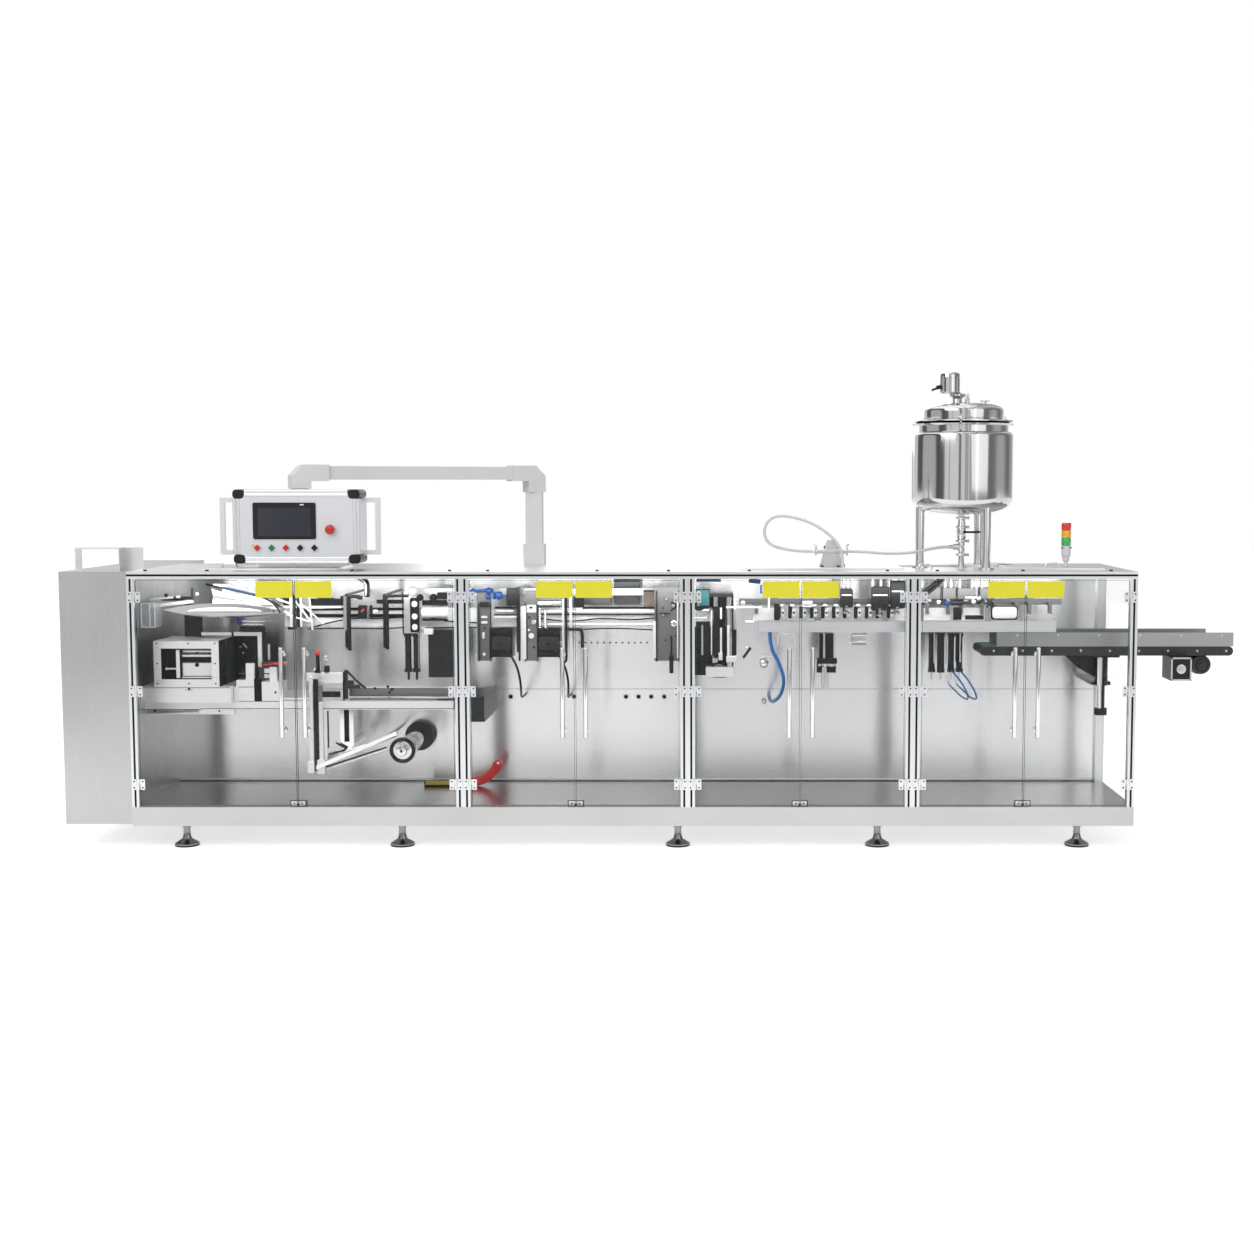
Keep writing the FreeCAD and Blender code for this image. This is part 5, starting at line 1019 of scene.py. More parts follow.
# %% Pouch line: finishes by place
REGIONS = [
    ("film_box", "pale_plate", None, None, None),
    ("film_box", "dull_plate", (310, 340), (152, 412), (672, 870)),
    ("film_box", "black_anodised", (60, 308), (152, 405), (690, 846)),
    ("film_box", "black_anodised", (341, 440), (395, 500), (600, 890)),
    ("film_box", "black_anodised", (500, 600), (205, 240), (745, 784)),
    ("infeed_table", "pale_plate", None, None, None),
    ("infeed_table", "dark_steel", (1335, 1470), (190, 640), (505, 625)),
    ("punch_station", "black_anodised", (1105, 1170), (235, 320), (680, 895)),
    ("punch_station", "black_anodised", (1205, 1320), (255, 350), (696, 906)),
    ("sealing_stations", "dull_plate", (1400, 2310), (255, 290), (760, 1095)),
    ("sealing_stations", "black_anodised", (1482, 1580), (250, 350), (780, 920)),
    ("sealing_stations", "black_anodised", (1689, 1786), (250, 350), (780, 920)),
    ("cutting_station", "black_anodised", None, None, None),
    ("cutting_station", "chrome", (2440, 2530), (235, 280), (748, 1048)),
    ("cutting_station", "pale_plate", (2414, 2536), (225, 292), (700, 748)),
    ("guide_rollers", "black_anodised", (855, 1036), (230, 632), (826, 1064)),
    ("guide_rollers", "chrome", (700, 1090), (160, 515), (290, 675)),
    ("film_shaft", "chrome", None, (160, 600), None),
    ("film_shaft", "dark_steel", None, (580, 600), None),
    ("gripper_row", "dull_plate", None, None, None),
    ("filler_heads", "dull_plate", None, None, (1038, 1088)),
    ("lift_cylinders", "black_anodised", None, None, (716, 892)),
    ("conveyor_frame", "dark_steel", None, None, (795, 837)),
    ("conveyor_belt", "slot_black", (3500, 3660), None, None),
    ("conveyor_column", "black_anodised", None, None, None),
    ("conveyor_column", "chrome", (4118, 4136), None, (556, 792)),
]
for node, name, along, depth, level in REGIONS:
    found = finish_part(node, name, along, depth, level)
    if not found:
        print("no faces of", node, "for", name)
print(len(REGIONS), "regions finished")

# %% [markdown]
# The back wall is a bright sheet with a folded foot. Its drilled holes are closed by black plugs, the
# larger ones in pale rims.

# %% Pouch line: back wall
SMALL_HOLES = [1836 + 28 * number for number in range(12)]
LARGE_HOLES = [1522, 1759, 1811, 2047, 2104, 2162, 2221]
add("wall_foot", "pale_plate", [block((2, 4182), (627.2, 629.8), (186, 193), 0.6)])
add("wall_joint", "slot_black", [block((2, 4182), (626.4, 629.8), (180.6, 183), 0.5)])
add("wall_plugs", "slot_black", [plug(along, 633.8, 815, 3.9, 4.6) for along in SMALL_HOLES]
    + [plug(along, 633.8, 568, 8.9, 5.2) for along in LARGE_HOLES])
# Painted shade: thin black strips where shadow lines fall between the table's blocks and beside the stop.
add("table_seam_shade", "slot_black", [
    block((0.5, 392), (198.6, 199.9), (600.2, 602.4), 0.3),
    block((394, 590), (198.6, 199.9), (600.2, 602.4), 0.3),
    block((0.5, 240), (198.6, 199.9), (564.6, 567.2), 0.3),
    block((240, 1330), (198.6, 199.9), (568.4, 570.6), 0.3),
    block((383, 394), (199, 203), (602, 664), 0.5), block((470, 503), (202, 206), (602, 700), 0.5)])
add("wall_rims", "pale_plate", [hoop(at(along, 629.8, 568), OUT, [
    (0, 0.0090), (0, 0.0135), (0.0008, 0.0132), (0.0012, 0.0094)], 28) for along in LARGE_HOLES])
print(len(SMALL_HOLES) + len(LARGE_HOLES), "holes plugged")

# %% [markdown]
# In the first bay the film comes in through a framed box over a milled block. Beside the box stand a drive
# in a black case, a stop with two holes, a clamp with a red grip and a cam knob, all on one long beam.

# %% Film feed: box and blocks
box_inside = [block((172, 299), (172, 180), (796, 806), 1), bar((172, 190, 820), (299, 190, 820), 9),
              block((172, 299), (172, 186), (713, 772), 2), block((150, 166), (158, 172), (706, 828), 1),
              block((150, 299), (164, 172), (705.5, 711), 0.6)]
box_inside += [ball(104, 172, 745, 6), bar((108, 176, 745), (148, 176, 745), 4)]
add("film_box_rollers", "pale_plate", box_inside)
add("film_box_dark", "slot_black", [block((168, 299), (166, 172), (774, 794), 1),
    block((166, 171), (160, 172), (706, 828), 0.8), plug(236, 171, 762, 9, 1), plug(236, 171, 812, 5, 1),
    block((94, 148), (186, 196), (706, 830), 1)])
frame_screws = [(72, 856), (206, 856), (320, 856), (72, 684), (206, 684), (320, 684), (72, 770), (320, 770)]
add("film_box_screws", "dark_steel", [
    screw(at(along, 150, level), OUT, 0.0035, 0.002) for along, level in frame_screws]
    + [screw(at(206, 150, 660), OUT, 0.0055, 0.002), block((190, 222), (149.2, 150.2), (655, 657), 0.3),
        block((337, 343), (240, 420), (672, 868), 0.8)])
# Painted shade: thin black strips where shadow lines fall between the film box and the blocks around it.
add("film_box_seam_shade", "slot_black", [
    block((0.5, 382), (149.4, 150.1), (664.5, 667), 0.3),
    block((336.2, 337), (152, 408), (668, 868), 0.3),
    block((60, 336), (149.4, 150.1), (866.6, 868), 0.3)])
add("film_box_top", "pale_plate", [block((221, 352), (290, 302), (878, 892), 1),
    block((362, 483), (290, 302), (876, 893), 1), block((309, 329), (246, 256), (684, 866), 1),
    block((465, 483), (290, 300), (740, 876), 1), block((384, 404), (196, 199.9), (601, 665), 0.6)])
drive_bits = [bar((372, 396, 835), (390, 396, 812), 4), bar((356, 396, 818), (366, 396, 818), 6),
    bar((350, 396, 700), (378, 396, 700), 3), ball(372, 394, 792, 5),
    bar((513, 290, 771), (513, 290, 841), 6), bar((413, 250, 944), (510, 250, 944), 4),
    bar((413, 250, 930), (500, 250, 930), 4), ball(540, 240, 733, 8), ball(521, 240, 706, 8),
    ball(548, 240, 706, 7)]
add("feed_chrome", "chrome", drive_bits)
black_bits = [block((484, 501), (296, 304), (772, 892), 1), block((147, 226), (296, 300), (872, 968), 2),
    block((360, 426), (392, 397), (862, 884), 1), block((350, 356), (394, 397), (610, 880), 0.8),
    plug(424, 200, 734, 6), plug(424, 200, 702, 6), plug(562, 200, 640, 5),
    # The thin strip at levels 662 to 664.4 is painted shade, a shadow line beside the stop.
    block((396, 470), (199.2, 200.1), (662, 664.4), 0.3), block((400, 512), (240, 262), (897, 922), 3),
    plug(40, 200, 559, 5.5), plug(318, 200, 559, 4)]
add("feed_black", "black_anodised", black_bits)
add("feed_white", "pale_plate", [block((505, 536), (236, 246), (719, 741), 2, 4),
    block((538, 560), (236, 246), (714, 746), 2, 4), block((504, 532), (236, 246), (697, 714), 2, 4),
    block((560, 600), (236, 262), (760, 766), 1), block((0.6, 232), (200, 236), (548, 564.6), 1)])
add("feed_grip", "knob_red",
    [bar((560, 212, 762), (606, 212, 761), 7), bar((508, 212, 758), (560, 212, 762), 5.5)])
add("feed_fitting", "fitting_blue",
    [bar((398, 250, 926), (398, 250, 958), 8), bar((389, 250, 950), (408, 250, 950), 5)])
print(len(drive_bits) + len(black_bits), "bits on the feed")

# %% [markdown]
# The former is a polished boat-shaped shoulder, over which a plough sheet folds the film in two. A black
# seal follows the plough's curved edge.

# %% Film former
def curve_through(points, steps=40):
    """Even steps along straight lines between the points, then averaged with their neighbours."""
    points = np.array(points, float)
    chord = np.concatenate([[0], np.cumsum(np.linalg.norm(np.diff(points, axis=0), axis=1))])
    wanted = np.linspace(0, chord[-1], steps)
    smooth = np.stack([np.interp(wanted, chord, points[:, axis]) for axis in range(3)], -1)
    for _ in range(8):
        smooth[1:-1] = (smooth[:-2] + 2 * smooth[1:-1] + smooth[2:]) / 4
    return smooth


plough_edge = curve_through([(284, 166, 1108), (330, 166, 1098), (390, 166, 1084), (452, 166, 1070),
    (520, 166, 1054), (560, 166, 1036), (590, 166, 1008), (598, 166, 985)])
add("plough_seal", "black_plastic",
    [swept(np.array([at(*point) for point in plough_edge]), circle(0.0042, 10), (0, 1, 0))])
add("plough_blue", "fitting_blue", [swept(
    np.array([at(along, depth + 1, level + 5) for along, depth, level in plough_edge[8:30]]),
    circle(0.0022, 8), (0, 1, 0))])
lens_at = np.linspace(0, 1, 26)
add("former_lens", "sheet_steel", [spun(at(124, 186, 989), ACROSS, np.stack([
    lens_at * 0.470, 0.002 + 0.0245 * np.sin(np.pi * lens_at) ** 0.72], -1), 36)])
across, down = plough_edge[2:-4], np.linspace(0, 1, 12)
lower = np.stack([across[:, 0], np.full(len(across), 186.0), np.full(len(across), 1006.0)], -1)
sheet = across[:, None] * (1 - down[None, :, None]) + lower[:, None] * down[None, :, None]
sheet[..., 1] += 26 * np.sin(np.pi * down)[None]
sheet = np.concatenate([sheet, sheet[:, ::-1] + np.array([0, 1.2, 0])], axis=1)
add("former_sheet", "bright_steel",
    [shell(np.stack([LEFT + sheet[..., 0] * MM, FRONT + sheet[..., 1] * MM, sheet[..., 2] * MM], -1))],
    angle=60)
add("former_roller", "pale_plate", [bar((20, 240, 1008), (206, 240, 1030), 9),
    bar((20, 240, 1040), (150, 240, 1050), 6), ball(232, 210, 1064, 8)])
add("former_bracket", "black_anodised", [
    block((64, 196), (250, 262), (1032, 1050), 3), block((140, 206), (236, 250), (1014, 1032), 3),
    ball(90, 238, 1056, 9), ball(128, 238, 1046, 8), bar((214, 200, 1040), (214, 200, 1092), 5),
    ball(566, 180, 992, 5), ball(330, 172, 968, 4)])
add("guide_box", "clear_plastic", [block((4, 66), (160, 250), (922, 1030), 2, 4)])
add("guide_box_edges", "pale_plate", [block((4, 66), (158, 162), (z, z + 5), 0.6) for z in (922, 1025)]
    + [block((x, x + 4), (158, 162), (924, 1028), 0.6) for x in (4, 40, 62)])

# %% [markdown]
# Past the former the folded film runs between thin guide rods and upright bars. A dark pipe comes down from
# the deck in two bends. Cutting its corners three times over makes them smooth without a curve to solve.

# %% Guides beyond the former
folds = [bar((588, 262, 1004), (760, 262, 1000), 4), bar((600, 262, 972), (700, 262, 940), 5),
         bar((640, 262, 1030), (705, 262, 940), 5), bar((668, 262, 1016), (760, 262, 930), 4),
         bar((700, 262, 1052), (712, 262, 905), 5), bar((560, 262, 1040), (640, 262, 1010), 5),
         bar((590, 262, 985), (640, 262, 962), 6), bar((712, 262, 1002), (840, 262, 1004), 6)]
add("guide_rods", "pale_plate", folds
    + [block((616, 628), (256, 268), (918, 1052), 1), block((660, 668), (256, 268), (918, 1052), 1)])
dark_guides = [block((630, 643), (254, 266), (916, 1058), 1.5),
    block((646, 658), (258, 270), (916, 1058), 1.5), block((585, 612), (262, 280), (1012, 1052), 3),
    block((676, 700), (262, 280), (960, 1000), 3), block((604, 640), (262, 280), (905, 918), 2),
    block((700, 860), (262, 272), (1010, 1040), 4), bar((840, 240, 1046), (912, 240, 1052), 7),
    bar((912, 240, 1050), (934, 240, 1044), 9), block((912, 950), (252, 262), (957, 1013), 2),
    block((962, 974), (252, 262), (957, 1013), 2), bar((700, 250, 1052), (828, 250, 1036), 5),
    block((990, 1120), (262, 272), (1018, 1036), 4)]
add("guide_blacks", "black_anodised", dark_guides)
add("guide_spacer", "bright_steel", [block((951, 961), (248, 256), (957, 1012), 1),
    bar((980, 250, 985), (1000, 250, 985), 12), bar((861, 238, 905), (861, 238, 1052), 10)])
add("guide_mark", "knob_red", [bar((926, 250, 984), (940, 250, 996), 3.5)])
elbow_pipe = [
    bent([(916, 228, 1150), (930, 228, 1128), (956, 228, 1118), (958, 228, 1090), (958, 228, 1050)], 12)]
add("guide_pipe", "black_anodised", elbow_pipe)
# Painted highlight: a thin bright tube along the front of the dark pipe stands for the light it catches.
add("guide_pipe_painted_highlight", "bright_steel",
    [bent([(922, 214, 1140), (932, 214, 1126), (955, 214, 1114), (955, 214, 1088), (955, 214, 1056)], 4)])
add("peg_ends", "black_anodised", [
    bent([(1034, 240, 1032), (1036, 240, 1050), (1062, 240, 1054), (1134, 240, 1054)], 7),
    bar((1040, 240, 822), (1040, 240, 1036), 8), bar((876, 238, 818), (876, 238, 1044), 9)])
print(len(dark_guides), "guide blocks")

# %% [markdown]
# Below the beam hang two slim polished links on a foot, and an arm slopes from them to the film shaft. The
# shaft's nose is a stepped cone inside a black ring.

# %% Film hanger and shaft
links = [block((712, 727), (176, 182), (335, 712), 1.5), block((752, 768), (176, 182), (335, 600), 1.5),
         block((774, 784), (180, 186), (346, 562), 1.5)]
links += [block((700, 730), (170, 184), (292, 345), 2, 6), block((742, 776), (170, 184), (288, 352), 2, 6)]
add("hanger_links", "pale_plate", links)
add("hanger_dark", "black_anodised", [block((729, 750), (178, 186), (300, 700), 1.5),
    block((786, 792), (184, 190), (400, 562), 1), block((850, 872), (238, 252), (380, 600), 1.5),
    bar((776, 184, 318), (1040, 184, 404), 3.5), bar((872, 188, 376), (1080, 188, 452), 3.5),
    bar((790, 184, 372), (862, 184, 392), 4), bar((822, 184, 424), (866, 184, 398), 4)])
# The two slanting bars are chrome. The thin upright strip from 846 to 850 is a painted highlight on the
# left edge of the dark column.
add("hanger_chrome_and_painted_highlight", "chrome", [bar((790, 180, 312), (1046, 180, 396), 4),
    bar((872, 186, 388), (1084, 186, 462), 4), block((846, 850), (236, 240), (380, 560), 0.8)])
shaft_x, shaft_z = 1112, 394
nose = at(shaft_x, 165, shaft_z)
add("shaft_ring", "black_plastic", [hoop(nose, OUT, [(-0.004, 0.040), (-0.002, 0.0545), (0.0035, 0.0562),
    (0.010, 0.0545), (0.012, 0.050), (0.008, 0.040)], 48)], "film_shaft")
add("shaft_nose", "bright_steel", [spun(nose, OUT, [(0, 0.040), (0.001, 0.0415), (0.003, 0.0405),
    (0.004, 0.030), (0.018, 0.029), (0.019, 0.024), (0.021, 0.0235), (0.030, 0.0230), (0.032, 0.0215),
    (0.033, 0.010)], 40)], "film_shaft")
add("shaft_centre", "black_plastic", [spun(nose + OUT * 0.033, OUT, [(0, 0.006), (0.001, 0.0055)], 16)],
    "film_shaft")
add("shaft_collar", "dark_steel", [hoop(at(shaft_x, 596, shaft_z), OUT, [(0, 0.041), (0, 0.0655),
    (0.010, 0.0655), (0.013, 0.062), (0.013, 0.041)], 48)], "film_shaft")
add("shaft_patch", "pale_plate", [hoop(at(shaft_x, 360, shaft_z), OUT,
    [(0, 0.0395), (0, 0.0412), (0.060, 0.0412), (0.060, 0.0395)], 48)], "film_shaft")

# %% [markdown]
# A red lever with a yellow pad rises from the floor pan: a rounded bar carried along a curve. Each pair of
# leaves closes on a pale catch on the sill, a plate with three screws. The first of the slotted plates in
# the punching station gets its slot and its bright ovals here too.

# %% Hand lever and door catches
lever_line = curve_through(
    [(1322, 500, 190), (1372, 500, 197), (1424, 500, 214), (1462, 500, 248), (1480, 500, 284)], 24)
lever = swept(np.array([at(*point) for point in lever_line]), rounded(0.040, 0.030, 0.008, 3), (0, 1, 0))
tip = at(1481, 480, 287)
add("lever_arm", "knob_red",
    [lever, spun(tip, -OUT, [(0, 0.012), (0.002, 0.0145), (0.038, 0.0145), (0.040, 0.012)], 28)],
    stands_for=("hand_lever",))
add("lever_bolt", "pale_plate", [spun(tip, OUT, [(-0.001, 0.006), (0.001, 0.006), (0.002, 0.004)], 16)])
add("lever_grip", "safety_yellow", [block((1150, 1300), (482, 518), (187, 201), 2, 5)])
add("lever_edge", "slot_black",
    [block((1148, 1302), (481, 519), (180.5, 187), 1), block((1146, 1150), (482, 518), (187, 201), 1)])
meetings = (697, 1868, 2813, 3753)
add("door_catches", "pale_plate",
    [block((x - 30, x + 30), (11.8, 12.8), (181, 201), 0.4, 2) for x in meetings])
add("catch_edges", "slot_black", [
    block((x - 34, x + 34), (12.9, 13.9), (178.5, 204.5), 0.3) for x in meetings]
    + [plug(x + shift, 11.7, level, size, 0.6)
        for x in meetings for shift, level, size in ((-17, 191, 3.4), (0, 186, 5.5), (17, 191, 3.4))])
head = [block((1140, 1180), (234, 239), (896, 1046), 2, 8)]
add("punch_slot", "slot_black", head
    + [block((1106, 1110), (238, 250), (888, 1070), 0.6), ball(1184, 238, 1046, 15),
        ball(1242, 238, 1046, 17), block((1256, 1300), (240, 262), (1040, 1068), 3),
        block((1190, 1300), (246, 262), (1012, 1034), 3), bar((1190, 246, 950), (1300, 246, 950), 5)])
add("punch_ovals", "pale_plate", [
    block((1148, 1172), (230, 234), (z, z + 26), 1.5, 10) for z in (906, 952, 1006)]
    + [ball(1153, 226, 1074, 22), bar((1190, 250, 982), (1302, 250, 982), 24),
        block((1196, 1236), (244, 262), (886, 912), 2)])

# %% [markdown]
# The film table carries a small plate with knobs, one with a red ball, and a gusset beside it. A rail runs
# on to the right, with a row of small black knobs that clamp it. Balls and short bars are enough for pieces
# this small.

# %% Cam knobs on the film table
add("table_plate", "pale_plate", [block((677, 850), (226, 242), (684, 722), 1.5, 5),
    block((700, 846), (224, 226), (676, 686), 0.8), block((560, 700), (226, 240), (604, 612), 1)])
add("table_knobs", "black_anodised", [bar((739, 232, 722), (739, 232, 800), 8),
    bar((739, 232, 722), (739, 232, 732), 14), bar((778, 232, 724), (778, 232, 752), 12),
    block((764, 842), (198, 200), (619, 645), 1), block((846, 852), (226, 240), (600, 724), 1)])
add("table_red", "knob_red", [ball(739, 232, 806, 11)])
add("table_chrome", "chrome", [hoop(at(776, 228, 786), OUT, [(0, 0.006), (0.001, 0.010), (0.004, 0.011),
    (0.007, 0.010), (0.008, 0.006)], 24), bar((776, 232, 752), (776, 232, 776), 5),
    bar((752, 232, 724), (752, 232, 760), 5), ball(726, 230, 735, 7)])
gusset_side = [bar((852, 240, 726), (862, 240, 730), 6), bar((862, 240, 730), (898, 240, 690), 5),
               bar((898, 240, 690), (944, 240, 652), 5)]
add("table_gusset", "dark_steel", gusset_side
    + [block((850, 866), (236, 244), (606, 726), 1), block((866, 892), (238, 242), (652, 688), 1),
        block((892, 920), (238, 242), (652, 668), 1)])
rail_bits = [block((860, 1322), (290, 300), (612, 648), 1), block((872, 1330), (244, 256), (601.4, 609), 1)]
add("table_rail", "dull_plate", rail_bits)
# Painted highlight: thin pale strips along the tops of both rails stand for the light on their top edges.
add("table_rail_top_highlight", "pale_plate",
    [block((860, 1322), (286, 300), (649, 653), 0.8), block((1110, 1316), (240, 250), (609.4, 612), 0.6)])
RAIL_KNOBS = [(926, 658), (978, 650), (1034, 658), (1052, 646), (1040, 632), (950, 604), (1040, 606)]
add("table_rail_knobs", "black_anodised", [ball(x, 262, z, 6) for x, z in RAIL_KNOBS]
    + [block((1252, 1332), (236, 242), (602, 606), 0.6)])
print(len(links), "hanger shells")

# %% [markdown]
# In the second bay two drilled plates carry a pair of dark cylinders, and a third plate ends the sealing
# row. Each cylinder has its fittings and springs, and pipes and rods run between them.

# %% Punch and sealing plates: marks and fittings
def elbow(along, level, depth=255, size=9.0):
    """A small elbow as two turned pieces: one into the housing, one down from it."""
    return [bar((along, depth, level), (along, depth + 14, level), size * 0.7, 12),
            bar((along, depth, level + size * 0.6), (along, depth, level - size * 1.4), size * 0.5, 12)]


plate_marks = [block((1447, 1458), (254, 263), (867, 895), 1, 4),
    block((1443, 1470), (254, 263), (956, 966), 1, 4), block((1443, 1470), (254, 263), (932, 943), 1, 4),
    block((1641, 1683), (254, 263), (980, 1014), 1.5), plug(1660, 254, 880, 12, 1.5),
    plug(1650, 254, 905, 5, 1.5), plug(1455, 254, 800, 7, 1.5),
    block((2290, 2297), (254, 263), (782, 1070), 0.8)]
add("plate_marks", "pale_plate", plate_marks)
PLATE_DOTS = [(1459, 912, 4), (1459, 1012, 4), (1652, 960, 5), (1670, 830, 5), (2230, 1000, 4),
    (2240, 860, 4), (2284, 880, 4)]
add("plate_blacks", "black_plastic", [
    block((1440, 1479), (240, 254), (1005, 1027), 2), block((1653, 1666), (250, 254), (998, 1007), 1, 4),
    block((1431, 1435), (252, 264), (767, 1021), 0.6), block((1483, 1487), (252, 264), (767, 1021), 0.6),
    block((1631, 1636), (252, 264), (767, 1021), 0.6), block((1684, 1688), (252, 264), (767, 1021), 0.6),
    block((2199, 2205), (252, 264), (767, 1075), 0.6), block((2296, 2301), (252, 264), (767, 1075), 0.6),
    block((2262, 2270), (252, 256), (796, 879), 0.8), block((2257, 2275), (240, 252), (718, 797), 2)]
    + [plug(x, 254, z, r, 1.5) for x, z, r in PLATE_DOTS])
KNOB_PLACES = [(2244, 1040, 7), (2230, 973, 7), (2277, 933, 13), (1670, 940, 11), (2275, 1012, 9),
    (1640, 1000, 5)]
knobs = []
for x, z, r in KNOB_PLACES:
    knobs.append(spun(at(x, 255, z), OUT, [(0, r * MM), (0.006, r * MM), (0.008, r * 0.8 * MM),
        (0.008, r * 0.4 * MM), (0.003, r * 0.35 * MM)], 20))
add("plate_knobs", "chrome", knobs)
cylinder_fittings = [shells for x in (1495, 1697) for z in (843, 782) for shells in elbow(x, z)]
cylinder_fittings += elbow(1600, 855) + elbow(1786, 850) + [bar((1687, 268, 1018), (1751, 268, 1018), 9)]
add("actuator_fittings", "chrome", cylinder_fittings)
add("actuator_caps", "slot_black", [
    block((x, x + 98), (246, 252), (z, z + 6), 1) for x in (1482, 1688) for z in (880, 812)]
    + [plug(x, 250, 845, 16, 1.5) for x in (1530, 1738)]
    + [block((1480, 1484), (246, 256), (780, 912), 1)])
add("actuator_bands", "dark_steel",
    [block((x + 6, x + 92), (246, 252), (818, 876), 2, 8) for x in (1482, 1688)])
springs = []
for x, low, high in ((1697, 908, 1000), (1720, 912, 990)):
    turns = np.linspace(0, 2 * np.pi * 9, 200)
    path = at(x, 258, low) + np.stack(
        [0.0075 * np.cos(turns), 0.0075 * np.sin(turns), (high - low) * MM * turns / turns[-1]], -1)
    springs.append(swept(path, circle(0.0016, 6), (0, 0, 1)))
add("springs", "bright_steel", springs)

# %% [markdown]
# Between the plates lie dark and pale bars, grey boxes, a brown cover and bent pipes, and blue push-in
# fittings stand where air lines would start. They lie a little in front of the CAD station, each at its own
# depth, because their order in depth decides what hides what.

# %% Sealing bay: bars, boxes and pipes
add("sealing_blacks", "black_anodised", [block((1556, 1600), (236, 256), (1010, 1086), 2),
    block((1598, 1613), (240, 250), (810, 1092), 1.5), block((1604, 1612), (252, 260), (770, 1009), 1),
    block((1638, 1642), (256, 264), (777, 1009), 0.6), bar((1812, 240, 785), (1812, 240, 1050), 6),
    bent([(1812, 240, 800), (1812, 240, 770), (1796, 240, 762)], 5.5),
    block((1883, 1998), (384, 396), (1036, 1044), 2), block((2003, 2119), (480, 496), (1100, 1112), 2),
    block((2144, 2202), (284, 292), (1068, 1076), 1), block((1882, 2203), (287, 292), (994, 1003), 1),
    bar((1500, 250, 972), (1598, 250, 972), 3), bar((1687, 276, 1032), (1787, 276, 1032), 3),
    bar((1687, 262, 1006), (1787, 262, 1006), 3), block((1840, 1886), (290, 300), (990, 1044), 2)])
add("sealing_pales", "pale_plate", [
    block((1614, 1638), (250, 262), (777, 1009), 1.5), bar((1508, 276, 986), (1584, 276, 986), 7),
    bar((1500, 262, 962), (1598, 262, 962), 8), bar((1685, 290, 1024), (1787, 290, 1024), 15),
    block((1826, 1836), (250, 262), (760, 1050), 1), block((2186, 2200), (254, 262), (782, 943), 1),
    block((1794, 1802), (250, 262), (790, 1040), 1)])
add("sealing_boxes", "dull_plate", [
    block((1875, 1997), (396, 440), (1004, 1040), 3), block((2003, 2119), (496, 540), (998, 1104), 3),
    block((1846, 1884), (300, 330), (996, 1040), 3)])
add("cover_box", "cardboard_brown", [block((2144, 2202), (292, 340), (1003, 1070), 2)])
add("sealing_pipe", "black_plastic",
    [bent([(1823, 236, 909), (1868, 236, 909), (1882, 236, 906), (1882, 236, 830)], 7)])
add("sealing_hook", "slot_black", [
    bent([(2264, 246, 1024), (2282, 246, 1026), (2290, 246, 1010), (2276, 246, 996), (2262, 246, 990)],
        3),
    bar((2216, 248, 976), (2262, 248, 976), 3),
    bent([(1822, 232, 914), (1868, 232, 914), (1886, 232, 910), (1888, 232, 832)], 2)])
blue_balls = [ball(1413, 238, 1074, 13), ball(1481, 232, 1076, 15), ball(1525, 232, 1056, 18),
    ball(1477, 236, 1050, 12), bar((1398, 240, 1074), (1500, 240, 1078), 7),
    bar((1503, 236, 1040), (1503, 236, 1072), 7), bar((2376, 210, 1124), (2480, 210, 1124), 8),
    bar((2600, 210, 1122), (2650, 210, 1116), 10), bar((2653, 204, 1066), (2653, 204, 1104), 5),
    ball(3453, 236, 1023, 12)]
add("blue_fittings", "fitting_blue", blue_balls)
print(len(springs), "springs")

# %% [markdown]
# The film hangs from the former as a doubled sheet, crinkled along its run, and the finished pouches follow
# one by one. Its depth is the sum of a few waves of unequal length, which fade out at both ends of the run.

# %% Film
def crinkled(start, end, low, high, depth, steps, swell=3.0, thick=0.5):
    """A closed sheet, set off by swell * (a sum of sines of place), which fades to zero at its ends."""
    across = 12
    u, v = np.meshgrid(np.linspace(0, 1, steps), np.linspace(0, 1, across), indexing="ij")
    x, z = start + u * (end - start), low + v * (high - low)
    waves = (np.sin(x / 23 + 2.1 * np.sin(z / 17)) + 0.7 * np.sin(x / 9.3 - z / 12)
        + 0.5 * np.sin(x / 51 + z / 31))
    waves = swell * waves / 2.2 * np.sin(np.pi * np.clip(u * 12, 0, 0.5)) * np.sin(
        np.pi * np.clip((1 - u) * 12, 0, 0.5))
    sheets = [np.stack([x, depth + waves + side, z], -1) for side in (-thick, thick)]
    loop = np.concatenate([sheets[0], sheets[1][:, ::-1]], axis=1)
    return shell(np.stack([LEFT + loop[..., 0] * MM, FRONT + loop[..., 1] * MM, loop[..., 2] * MM], -1))


sheets = [crinkled(586, 2450, 917, 999, 290, 420, 1.6)]
sheets += [crinkled(x, x + 117, 943, 999, 290, 30, 1.6) for x in np.arange(2620.5, 3600, 148)]
add("film_sheet", "film_white", sheets, stands_for=("film_web",), angle=70)
edges = [
    bent([(700, 277, 912), (800, 277, 940), (900, 277, 956), (990, 277, 952), (1120, 277, 960)], 3),
    bent([(690, 277, 908), (860, 277, 911), (1000, 277, 908), (1120, 277, 914)], 2.6),
    bent([(1200, 277, 962), (1290, 277, 940), (1430, 277, 934)], 3),
    bar((1200, 277, 912), (1430, 277, 915), 2.6),
    bent([(1700, 277, 908), (1860, 277, 904), (2000, 277, 912), (2200, 277, 903)], 2.6),
    bent([(1700, 277, 952), (1830, 277, 938), (1960, 277, 956), (2090, 277, 946), (2200, 277, 956)], 3),
    bar((1700, 277, 971), (2200, 277, 971), 2.6), block((700, 1120), (283, 287), (958, 972), 1),
    block((700, 1120), (283, 287), (988, 1000), 1), block((1500, 1600), (276, 284), (996, 1004), 1)]
add("film_edges", "slot_black", edges)
